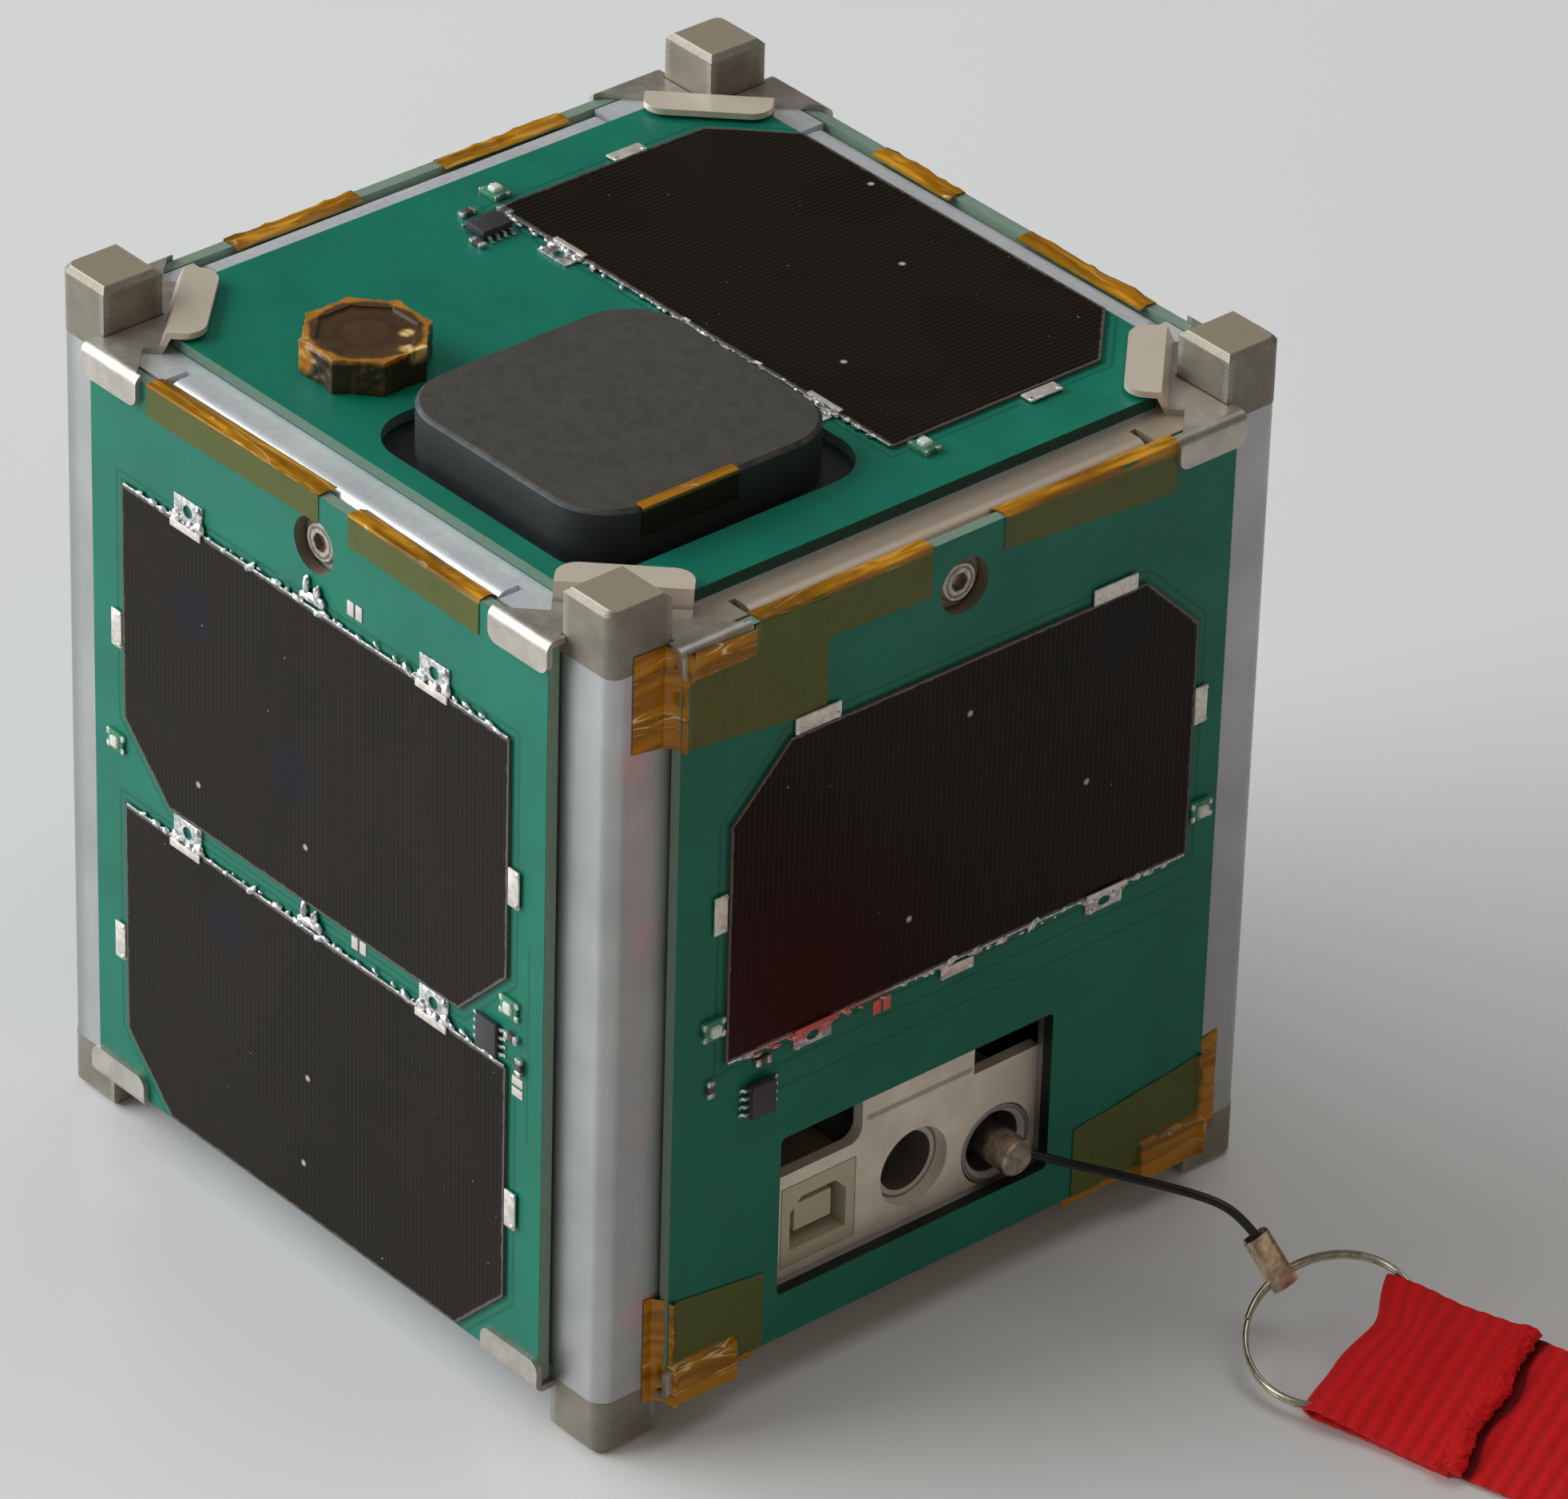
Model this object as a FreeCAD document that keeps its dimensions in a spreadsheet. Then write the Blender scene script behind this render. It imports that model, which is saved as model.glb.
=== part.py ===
import FreeCAD, Part
import math
import os
import re
import Sketcher
from FreeCAD import Placement, Rotation, Vector

# One-unit cube satellite, engineering model, with its remove-before-flight pin in place.
# Millimetres. The origin is under the middle of the frame, on the plane of its feet, +Z up.
# The face with the access window looks along +X, and the pin is pulled that way.

# Sizes that can be set by themselves.
SIZES = {
    # Frame: four rails and eight feet on a square of this width.
    "frame_width": 100.0,
    "frame_height": 113.5,
    "foot_side": 8.5,
    "foot_upper": 8.5,
    "foot_lower": 7.25,
    "foot_round": 1.8,
    "foot_bevel": 0.7,
    "rail_round": 2.0,
    "sheet_thick": 1.6,
    # Cover plate and base plate, with a flange bent down on each side.
    "flange_half": 29.5,
    "flange_drop": 11.0,
    "bend_round": 2.0,
    "relief_wide": 1.0,
    "relief_deep": 3.5,
    "tab_inset": 3.5,
    "tab_lap": 5.0,
    "fit_gap": 0.3,
    "cut_past": 1.0,
    "edge_gap": 0.05,
    # Screw through the middle of each flange of the cover plate.
    "screw_drop": 6.8,
    "screw_radius": 1.5,
    "screw_hole": 1.7,
    "screw_head": 2.7,
    "screw_head_high": 1.1,
    "screw_bevel": 0.4,
    "screw_long": 6.0,
    "screw_socket": 1.25,
    "screw_socket_deep": 0.8,
    # Circuit boards on the six faces.
    "board_thick": 1.6,
    "side_board_gap": 0.4,
    "end_board_inset": 5.6,
    "end_board_gap": 0.3,
    "screw_window": 3.6,
    # Solar cells.
    "cell_thick": 0.4,
    "cell_side": 6.1,
    "cell_corner": 8.5,
    "cell_foot": 0.45,
    "cell_rows_gap": 3.7,
    "cell_head": 15.05,
    "window_cell_shift": 1.3,
    "window_cell_gap": 14.5,
    "window_cell_head": 16.85,
    "top_cell_shift": -0.5,
    "top_cell_gap": 3.15,
    "bottom_cells_gap": 7.8,
    "end_margin": 0.3,
    # Clips that hold the boards at the corners, bent from thin sheet.
    "clip_thick": 0.8,
    "clip_half": 7.8,
    "clip_tongue": 4.1,
    "clip_ramp": 1.2,
    "clip_land": 1.8,
    "clip_set_back": 10.81,
    "clip_lift": 2.1,
    "clip_corner": 2.6,
    "clip_tab_edge": 7.8,
    "clip_tab_drop": 4.2,
    "clip_tab_round": 1.4,
    "clip_bend": 1.2,
    "clip_gap": 0.2,
    # Patch antenna on the cover plate, standing through the top board.
    "antenna_right": 10.45,
    "antenna_front": 5.45,
    "antenna_side": 37.3,
    "antenna_corner": 8.0,
    "antenna_edge": 0.5,
    "antenna_below_feet": 0.1,
    "antenna_gap": 2.4,
    # Eight-sided cap on the top board.
    "cap_gap": 4.05,
    "cap_front": 6.2,
    "cap_flats": 14.4,
    "cap_high": 4.5,
    "cap_dish": 4.6,
    "cap_dish_deep": 0.6,
    "cap_edge": 0.5,
    # Access window in the +X board, and the plate with the ports behind it.
    "window_left": -25.0,
    "window_right": 17.0,
    "window_low": 13.0,
    "window_high": 35.0,
    "window_round": 0.8,
    "window_margin": 1.0,
    "port_plate_left": -29.0,
    "port_plate_right": 18.2,
    "port_plate_high": 28.1,
    "port_left_high": 26.3,
    "port_tab_left": -9.3,
    "port_tab_right": 8.0,
    "port_tab_high": 40.0,
    "port_tab_round": 2.0,
    "usb_y": -15.8,
    "usb_z": 18.8,
    "usb_wide": 11.2,
    "usb_high": 11.0,
    "usb_deep": 16.0,
    "usb_mouth_wide": 8.6,
    "usb_mouth_high": 7.0,
    "usb_mouth_deep": 9.0,
    "usb_mouth_cut": 1.7,
    "usb_tongue_wide": 5.6,
    "usb_tongue_high": 3.7,
    "usb_tongue_back": 1.0,
    "jack_y": -1.0,
    "jack_z": 19.0,
    "jack_window": 5.2,
    "jack_wide": 11.0,
    "jack_deep": 14.0,
    "jack_mouth": 3.9,
    "jack_mouth_deep": 9.5,
    "jack_pin": 1.0,
    "jack_pin_back": 2.0,
    # Socket of the pull pin, and the pin.
    "pin_y": 11.9,
    "pin_z": 16.7,
    "pin_radius": 2.4,
    "pin_end": 2.6,
    "pin_in_socket": 7.0,
    "pin_run": 1.0,
    "pin_fit": 0.05,
    "pin_bevel": 0.3,
    "socket_window": 5.4,
    "socket_wide": 11.2,
    "socket_collar": 5.1,
    "socket_mouth": 4.0,
    "socket_bevel": 0.7,
    "socket_mouth_deep": 2.5,
    "socket_deep": 12.0,
    # Stack of circuit boards inside, as one block.
    "stack_port_gap": 0.4,
    "stack_gap": 4.4,
    "stack_head_room": 12.5,
    # Lanyard.
    "cord_radius": 0.55,
    "ring_x": 90.74,
    "ring_y": 27.57,
    "ring_z": 6.4,
    "ring_turn": 15.7,
    "ring_tilt": 25.4,
    "ring_radius": 10.5,
    "ring_wire": 1.05,
    "ring_coil_high": 0.9,
    "ring_bevel": 0.2,
    "crimp_wide": 3.4,
    "crimp_thick": 0.5,
    "crimp_gap": 0.15,
    "strap_wide": 20.0,
    "strap_thick": 0.7,
    "strap_shift": -0.8,
    "strap_fold": 2.4,
    "strap_seam": 21.5,
    "strap_close": 6.0,
    "strap_pocket": 5.0,
    "strap_lap": 1.0,
    "strap_level": 75.0,
    "strap_end": 130.0,
    "strap_gap": 0.15,
}

# Places worked out from the sizes.
WORKED_OUT = {
    "face": "(frame_width / 2)",
    "middle": "(frame_height / 2)",
    "foot_in": "(face - foot_side)",
    "corner": "(face * root_two)",
    "wall_top": "(frame_height - foot_upper)",
    "wall_in": "(face - sheet_thick)",
    "plate_top": "(wall_top + sheet_thick)",
    "plate_low": "(frame_height - plate_top)",
    "base_top": "(plate_low + sheet_thick)",
    "flange_low": "(plate_top - flange_drop)",
    "screw_z": "(plate_top - screw_drop)",
    "board_back": "(face + side_board_gap)",
    "board_face": "(board_back + board_thick)",
    "board_low": "(plate_low + edge_gap)",
    "board_high": "(plate_top - edge_gap)",
    "tab_half": "(flange_half - tab_inset)",
    "end_board_face": "(plate_top + board_thick)",
    "end_board_half": "(face - end_board_inset)",
    "end_board_corner": "(clip_step - end_board_gap)",
    "cell_wide": "(2 * (foot_in - cell_side))",
    "cell_low": "(board_low + cell_foot)",
    "cell_high": "((board_high - cell_head - cell_low - cell_rows_gap) / 2)",
    "cell_pitch": "(cell_high + cell_rows_gap)",
    "window_cell_low": "(window_high + window_cell_gap)",
    "window_cell_high": "(board_high - window_cell_head)",
    "end_cell_far": "(end_board_half - end_margin)",
    "end_cell_near": "(bottom_cells_gap / 2)",
    "top_cell_near": "(antenna_y + antenna_side / 2 + antenna_gap + top_cell_gap)",
    "clip_low": "plate_top",
    "clip_top": "(plate_top + clip_thick)",
    "clip_face": "(board_face + clip_thick)",
    "clip_notch": "(foot_in - clip_gap)",
    "clip_shoulder": "(corner - clip_set_back)",
    "clip_foot": "(clip_shoulder - clip_land)",
    "clip_step": "(clip_foot - clip_ramp)",
    "clip_inner": "(clip_step - clip_tongue)",
    "clip_tab_end": "(face - clip_tab_edge)",
    "ramp_out": "(clip_thick / 3)",
    "ramp_in": "(clip_thick / 4)",
    "ramp_foot": "(clip_thick / 2)",
    "root_two": "(2 ^ 0.5)",
    "tab_start": "(clip_shoulder * root_two - clip_face)",
    "plate_back": "(wall_in - sheet_thick)",
    "pin_face": "(face + pin_end)",
    "pin_back": "(plate_back - pin_in_socket)",
    "antenna_top": "(frame_height - antenna_below_feet)",
    "antenna_x": "(end_board_half - antenna_side / 2 - antenna_right)",
    "antenna_y": "(antenna_front + antenna_side / 2 - end_board_half)",
    "cap_x": "(antenna_x - antenna_side / 2 - antenna_gap - cap_gap - cap_flats / 2)",
    "cap_y": "(cap_front + cap_flats / 2 - end_board_half)",
    "ports_back": "min(wall_in - usb_deep; plate_back - jack_deep; plate_back - socket_deep)",
    "stack_front": "(ports_back - stack_port_gap)",
    "stack_side": "(wall_in - stack_gap)",
    "stack_high": "(wall_top - stack_head_room - base_top)",
}

# Points of the cord's route, from the pin's cross hole to the crimp.
CORD_ROUTE = [
    (50.4, 12.8, 16.7),
    (54.1, 15.8, 15.7),
    (62.7, 19.8, 16.3),
    (71.6, 24.2, 16.4),
    (75.5, 26.1, 15.2),
    (77.7, 27.1, 12.6),
]

# Share of the shorter run that each arc of the cord takes, and the sides of its section.
ARC_SHARE = 0.45
CORD_SIDES = 8

# Ruled steps in which the strap unrolls from the slope of the ring to the ground.
ROLL_STEPS = 4

doc = FreeCAD.newDocument("satellite")
sheet = doc.addObject("Spreadsheet::Sheet", "Sizes")
for row, (name, number) in enumerate(SIZES.items(), start=1):
    sheet.set(f"A{row}", name)
    sheet.set(f"B{row}", str(number))
    sheet.setAlias(f"B{row}", name)
doc.recompute()

PARTS = []


def formula(text):
    """The text as an expression: each word of the sheet gets the sheet's name."""

    def replace(found):
        word = found.group()
        if word in WORKED_OUT:
            return formula(WORKED_OUT[word])
        return "Sizes." + word if word in SIZES else word

    return re.sub(r"[a-z][a-z_]+", replace, str(text))


def value(text):
    """The number that a formula gives."""
    return float(sheet.evalExpression(formula(text)))


def bind(item, **formulas):
    """Ties properties of an object to the sheet."""
    for name, text in formulas.items():
        item.setExpression(name, formula(text))


def new_body(label, placement=None):
    """A named body, one piece of the satellite."""
    body = doc.addObject("PartDesign::Body", "Body_" + label)
    body.Label = label
    body.Placement = placement or Placement()
    PARTS.append(body)
    return body


def new_sketch(body, plane, lift="0"):
    """A sketch on one of the body's own planes, lifted along that plane's normal."""
    sketch = body.newObject("Sketcher::SketchObject", f"{body.Label}_outline")
    flat = [item for item in body.Origin.OriginFeatures if item.Role == plane + "_Plane"]
    sketch.AttachmentSupport = [(flat[0], "")]
    sketch.MapMode = "FlatFace"
    sketch.setExpression("AttachmentOffset.Base.z", formula(lift))
    return sketch


def outline(sketch, corners):
    """A closed outline through corners, each a pair of formulas."""
    first = sketch.GeometryCount
    points = [Vector(value(across), value(up), 0) for across, up in corners]
    count = len(points)
    for index in range(count):
        sketch.addGeometry(Part.LineSegment(points[index], points[(index + 1) % count]))
    for index in range(count):
        following = first + (index + 1) % count
        sketch.addConstraint(Sketcher.Constraint("Coincident", first + index, 2, following, 1))
    for index, corner in enumerate(corners):
        for kind, text, number in zip(("DistanceX", "DistanceY"), corner, points[index]):
            place = sketch.addConstraint(
                Sketcher.Constraint(kind, -1, 1, first + index, 1, number)
            )
            sketch.setExpression(f"Constraints[{place}]", formula(text))


def rectangle(sketch, left, low, right, high):
    """An upright rectangle between two corners, each side a formula."""
    outline(sketch, [(left, low), (right, low), (right, high), (left, high)])


def circle(sketch, across, up, radius):
    """A circle about a point, all by formulas."""
    centre = Vector(value(across), value(up), 0)
    item = sketch.addGeometry(Part.Circle(centre, Vector(0, 0, 1), value(radius)))
    wanted = [("DistanceX", across, centre.x), ("DistanceY", up, centre.y)]
    for kind, text, number in wanted:
        place = sketch.addConstraint(Sketcher.Constraint(kind, -1, 1, item, 3, number))
        sketch.setExpression(f"Constraints[{place}]", formula(text))
    place = sketch.addConstraint(Sketcher.Constraint("Radius", item, value(radius)))
    sketch.setExpression(f"Constraints[{place}]", formula(radius))


def pad(body, sketch, length, **options):
    """Fills the sketch along its normal."""
    feature = body.newObject("PartDesign::Pad", f"{body.Label}_pad")
    feature.Profile = sketch
    for name, setting in options.items():
        setattr(feature, name, setting)
    bind(feature, Length=length)
    doc.recompute()
    return feature


def pocket(body, sketch, length=None, **options):
    """Cuts the sketch out, against its normal, or right through the body without a length."""
    before = body.Shape.Volume
    feature = body.newObject("PartDesign::Pocket", f"{body.Label}_cut")
    feature.Profile = sketch
    if length is None:
        feature.Type = "ThroughAll"
    for name, setting in options.items():
        setattr(feature, name, setting)
    if length is not None:
        bind(feature, Length=length)
    doc.recompute()
    if body.Shape.Volume > before - 1e-6:
        raise ValueError(f"{feature.Label} cuts nothing")
    return feature


def edge_names(body, wanted):
    """The names of the body's edges whose two end points both pass the test."""
    names = []
    for number, edge in enumerate(body.Shape.Edges, start=1):
        if len(edge.Vertexes) == 2 and all(wanted(v.Point) for v in edge.Vertexes):
            names.append(f"Edge{number}")
    if not names:
        raise ValueError(f"{body.Label} has no such edge")
    return names


def edge_is(body, name, way):
    """Whether a named edge runs up or level."""
    first, last = [v.Point for v in body.Shape.getElement(name).Vertexes]
    rise = abs(first.z - last.z)
    return rise > 0.5 if way == "up" else rise < 1e-4


def dress_edges(body, kind, size, names):
    """Rounds or bevels edges given by name."""
    base = body.Tip
    feature = body.newObject("PartDesign::" + kind, f"{body.Label}_{kind.lower()}")
    feature.Base = (base, names)
    body.Tip = feature
    bind(feature, **{"Radius" if kind == "Fillet" else "Size": size})
    doc.recompute()


def finish_edges(body, kind, size, wanted):
    """Rounds or bevels the edges whose end points pass the test."""
    dress_edges(body, kind, size, edge_names(body, wanted))


def add_rounds(body, names, size):
    """Rounds edges given by name."""
    dress_edges(body, "Fillet", size, names)


def near(one, other):
    """Two numbers that stand for the same place."""
    return abs(one - other) < 1e-4


def local(body, test):
    """The test, given points in the body's own frame."""
    back = body.Placement.inverse()
    return lambda point: test(back.multVec(point))


def quarter_turns(turns):
    """A turn about the upright axis by right angles."""
    return Placement(Vector(), Rotation(Vector(0, 0, 1), 90 * turns))


def turned_over(turns, direction):
    """A quarter turn's placement with the piece first turned over about a level line."""
    height = value("middle")
    over = Placement(Vector(), Rotation(direction, 180), Vector(0, 0, height))
    return quarter_turns(turns).multiply(over)


def new_feature(label, shape, placement=None):
    """A named piece whose shape is worked out here."""
    item = doc.addObject("Part::Feature", "Piece_" + label)
    item.Label = label
    item.Shape = shape
    item.Placement = placement or Placement()
    PARTS.append(item)
    return item


def chassis_walls():
    """Folded sheet box: its corners are the rails, and a stepped tab lies behind each flange."""
    body = new_body("chassis_walls")
    ring = new_sketch(body, "XY", "foot_lower")
    rectangle(ring, "-face", "-face", "face", "face")
    pad(body, ring, "wall_top - foot_lower")
    corners = local(body, lambda p: near(abs(p.x), value("face")) and near(abs(p.y), value("face")))
    upright = [n for n in edge_names(body, corners) if edge_is(body, n, "up")]
    add_rounds(body, upright, "rail_round")
    hollow = new_sketch(body, "XY", "wall_top")
    rectangle(hollow, "-wall_in", "-wall_in", "wall_in", "wall_in")
    pocket(body, hollow)
    inside = local(
        body, lambda p: near(abs(p.x), value("wall_in")) and near(abs(p.y), value("wall_in"))
    )
    upright = [n for n in edge_names(body, inside) if edge_is(body, n, "up")]
    add_rounds(body, upright, "rail_round - sheet_thick")
    for plane in ("YZ", "XZ"):
        ends = new_sketch(body, plane)
        rectangle(ends, "-foot_in", "foot_lower - cut_past", "foot_in", "base_top")
        rectangle(
            ends, "-flange_half - fit_gap", "flange_low - fit_gap", "flange_half + fit_gap",
            "wall_top + cut_past",
        )
        pocket(body, ends, Midplane=True)
    lower_windows = {"YZ": [True], "XZ": [True, False]}
    for plane, sides in lower_windows.items():
        for side in sides:
            low = new_sketch(body, plane)
            rectangle(
                low, "-flange_half - fit_gap", "base_top - cut_past", "flange_half + fit_gap",
                "frame_height - flange_low + fit_gap",
            )
            pocket(body, low, Reversed=not side)
    add_wall_tabs(body)
    opening = new_sketch(body, "YZ")
    rectangle(
        opening, "window_left - window_margin", "window_low - window_margin",
        "window_right + window_margin", "window_high + window_margin",
    )
    pocket(body, opening, Reversed=True)
    for plane in ("YZ", "XZ"):
        holes = new_sketch(body, plane)
        circle(holes, "0", "screw_z", "screw_radius + pin_fit")
        pocket(body, holes, Midplane=True)


def add_wall_tabs(body):
    """Tabs stepped in by one sheet, which the screws of the flanges go into."""
    sides = {
        "upper": [("YZ", 1), ("YZ", -1), ("XZ", 1), ("XZ", -1)],
        "lower": [("YZ", -1), ("XZ", 1), ("XZ", -1)],
    }
    heights = {
        "upper": ("flange_low - fit_gap - tab_lap", "wall_top - fit_gap"),
        "lower": ("base_top + fit_gap", "frame_height - flange_low + fit_gap + tab_lap"),
    }
    for end, places in sides.items():
        low, high = heights[end]
        for plane, sign in places:
            lift = "wall_in" if sign > 0 else "-wall_in"
            tab = new_sketch(body, plane, lift)
            rectangle(tab, "-tab_half", low, "tab_half", high)
            pad(body, tab, "sheet_thick", Reversed=sign > 0)


def end_plate(label, placement, flange_sides):
    """Cover or base plate: flat, notched for the feet, with a flange bent down on each side."""
    body = new_body(label, placement)
    flat = new_sketch(body, "XY", "wall_top")
    ways = [(1, 1), (-1, 1), (-1, -1), (1, -1)]
    corners = []
    for number, (x_way, y_way) in enumerate(ways):
        long_x, short_x = (f"{'-' if x_way < 0 else ''}{word}" for word in ("face", "foot_in"))
        long_y, short_y = (f"{'-' if y_way < 0 else ''}{word}" for word in ("face", "foot_in"))
        notch = [(long_x, short_y), (short_x, short_y), (short_x, long_y)]
        corners += notch if number % 2 == 0 else notch[::-1]
    outline(flat, corners)
    pad(body, flat, "sheet_thick")
    drop = new_sketch(body, "XY", "plate_top")
    for x_way, y_way in flange_sides:
        flange = flange_rectangle(x_way, y_way)
        rectangle(drop, *flange)
    pad(body, drop, "flange_drop", Reversed=True)
    slots = new_sketch(body, "XY", "plate_top")
    for x_way, y_way in flange_sides:
        for end in (-1, 1):
            rectangle(slots, *relief_rectangle(x_way, y_way, end))
    pocket(body, slots)
    bends = [n for n in edge_names(body, local(body, on_bend)) if is_flange_edge(body, n)]
    add_rounds(body, bends, "bend_round")
    for plane in ("YZ", "XZ"):
        holes = new_sketch(body, plane)
        circle(holes, "0", "screw_z", "screw_hole")
        pocket(body, holes, Midplane=True)


def flange_rectangle(x_way, y_way):
    """The plan of one flange, as left, low, right, high."""
    near_side, far_side = "wall_in", "face"
    if x_way:
        sides = (near_side, far_side) if x_way > 0 else ("-" + far_side, "-" + near_side)
        return sides[0], "-flange_half", sides[1], "flange_half"
    sides = (near_side, far_side) if y_way > 0 else ("-" + far_side, "-" + near_side)
    return "-flange_half", sides[0], "flange_half", sides[1]


def relief_rectangle(x_way, y_way, end):
    """The plan of the slot beside one end of a flange."""
    along = ("flange_half", "flange_half + relief_wide")
    if end < 0:
        along = ("-flange_half - relief_wide", "-flange_half")
    across = ("face - relief_deep", "face + cut_past")
    if x_way + y_way < 0:
        across = ("-face - cut_past", "-face + relief_deep")
    if x_way:
        return across[0], along[0], across[1], along[1]
    return along[0], across[0], along[1], across[1]


def on_bend(point):
    """Whether a point lies at the top outer edge of a flange."""
    outside = max(abs(point.x), abs(point.y))
    along = min(abs(point.x), abs(point.y))
    top = near(point.z, value("plate_top"))
    return top and near(outside, value("face")) and along < value("flange_half") + 1e-4


def is_flange_edge(body, name):
    """Whether an edge runs along the whole flange."""
    return near(body.Shape.getElement(name).Length, 2 * value("flange_half"))


def foot(label, low, high, bevelled, turns):
    """Corner foot: a square block with its outer edge rounded and its end bevelled."""
    body = new_body(label, quarter_turns(turns))
    square = new_sketch(body, "XY", low)
    rectangle(square, "foot_in", "foot_in", "face", "face")
    pad(body, square, f"{high} - {low}")
    outer = value("face")
    finish_edges(
        body, "Fillet", "foot_round", local(body, lambda p: near(p.x, outer) and near(p.y, outer))
    )
    end = value(bevelled)
    finish_edges(body, "Chamfer", "foot_bevel", local(body, lambda p: near(p.z, end)))


def corner_point(along, across):
    """A corner of a clip's plan, given along and across one side, in the clip's own frame."""
    return f"(({along}) + ({across})) / root_two", f"(({across}) - ({along})) / root_two"


def mirrored(point):
    """The same point on the other side of the clip's middle line."""
    return point[0], f"-({point[1]})"


def clip(label, placement):
    """Corner clip: a raised pad over the end board and two tabs bent down over the side boards.

    Its own X axis runs out along the diagonal of the frame.
    """
    body = new_body(label, placement)
    profile = new_sketch(body, "XZ")
    outline(
        profile,
        [
            ("clip_foot", "clip_low"),
            ("clip_foot", "clip_top"),
            ("clip_step + ramp_out", "clip_top + clip_lift"),
            ("clip_inner", "clip_top + clip_lift"),
            ("clip_inner", "clip_low + clip_lift"),
            ("clip_step - ramp_in", "clip_low + clip_lift"),
            ("clip_foot - ramp_foot", "clip_low"),
        ],
    )
    pad(body, profile, "2 * clip_half", Midplane=True)
    base = new_sketch(body, "XY", "clip_low")
    half = [
        ("clip_foot", "clip_half"),
        ("clip_shoulder", "clip_half"),
        corner_point("tab_start", "clip_face"),
        corner_point("clip_tab_end", "clip_face"),
        corner_point("clip_tab_end", "face + clip_gap"),
        corner_point("clip_notch", "face + clip_gap"),
    ]
    tip = corner_point("clip_notch", "clip_notch")
    outline(base, half + [tip] + [mirrored(point) for point in half[::-1]])
    pad(body, base, "clip_thick")
    tabs = new_sketch(body, "XY", "clip_top")
    tab = [
        corner_point("tab_start", "board_face"),
        corner_point("tab_start", "clip_face"),
        corner_point("clip_tab_end", "clip_face"),
        corner_point("clip_tab_end", "board_face"),
    ]
    outline(tabs, tab)
    outline(tabs, [mirrored(point) for point in tab[::-1]])
    pad(body, tabs, "clip_tab_drop", Reversed=True)
    inner = value("clip_inner")
    corners = local(body, lambda p: near(p.x, inner) and near(abs(p.y), value("clip_half")))
    add_rounds(body, [n for n in edge_names(body, corners) if edge_is(body, n, "up")], "clip_corner")
    outer = value("clip_face") * math.sqrt(2)
    top = value("clip_top")
    bend = local(body, lambda p: near(p.z, top) and near(p.x + abs(p.y), outer))
    add_rounds(body, edge_names(body, bend), "clip_bend")
    low = value("clip_top - clip_tab_drop")
    ends = local(body, lambda p: near(p.z, low))
    thick = value("clip_face - board_face")
    short = [n for n in edge_names(body, ends) if near(body.Shape.getElement(n).Length, thick)]
    add_rounds(body, short, "clip_tab_round")


def side_board(label, turns, window):
    """Circuit board of one side, with a hole over the screw of the cover plate."""
    body = new_body(label, quarter_turns(turns))
    face = new_sketch(body, "YZ", "board_back")
    rectangle(face, "-foot_in", "board_low", "foot_in", "board_high")
    pad(body, face, "board_thick")
    hole = new_sketch(body, "YZ", "board_face")
    circle(hole, "0", "screw_z", "screw_window")
    pocket(body, hole)
    if window:
        opening = new_sketch(body, "YZ", "board_face")
        rectangle(opening, "window_left", "window_low", "window_right", "window_high")
        pocket(body, opening)
        sides = [value("window_left"), value("window_right")]
        levels = [value("window_low"), value("window_high")]

        def at_corner(point):
            beside = any(near(point.y, side) for side in sides)
            return beside and any(near(point.z, level) for level in levels)

        names = edge_names(body, local(body, at_corner))
        through = [n for n in names if near(body.Shape.getElement(n).Length, value("board_thick"))]
        add_rounds(body, through, "window_round")


def cell_outline(sketch, centre, low, high, cut_low, length="cell_wide"):
    """A solar cell: a rectangle with two corners cut off, at its lower or its upper edge."""
    left, right = f"{centre} - {length} / 2", f"{centre} + {length} / 2"
    if cut_low:
        outline(
            sketch,
            [
                (f"{left} + cell_corner", low),
                (f"{right} - cell_corner", low),
                (right, f"{low} + cell_corner"),
                (right, high),
                (left, high),
                (left, f"{low} + cell_corner"),
            ],
        )
    else:
        outline(
            sketch,
            [
                (left, low),
                (right, low),
                (right, f"{high} - cell_corner"),
                (f"{right} - cell_corner", high),
                (f"{left} + cell_corner", high),
                (left, f"{high} - cell_corner"),
            ],
        )


def side_cells(label, turns):
    """Two solar cells, one above the other, on a side board."""
    body = new_body(label, quarter_turns(turns))
    body.AllowCompound = True
    cells = new_sketch(body, "YZ", "board_face")
    for row in range(2):
        low = f"(cell_low + {row} * cell_pitch)"
        cell_outline(cells, "0", low, f"({low} + cell_high)", cut_low=True)
    pad(body, cells, "cell_thick")


def window_cell():
    """The one solar cell above the access window."""
    body = new_body("cell_x_plus")
    cell = new_sketch(body, "YZ", "board_face")
    cell_outline(cell, "window_cell_shift", "window_cell_low", "window_cell_high", cut_low=False)
    pad(body, cell, "cell_thick")


def end_board_outline(sketch):
    """The plan of an end board: a square with its corners cut off beside the clips."""
    short = "end_board_corner * root_two - end_board_half"
    wide = "end_board_half"
    points = [(wide, short), (short, wide)]
    corners = []
    for x_way, y_way in ((1, 1), (-1, 1), (-1, -1), (1, -1)):
        pair = [(f"{x_way} * ({x})", f"{y_way} * ({y})") for x, y in points]
        corners += pair if x_way * y_way > 0 else pair[::-1]
    outline(sketch, corners)


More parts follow.
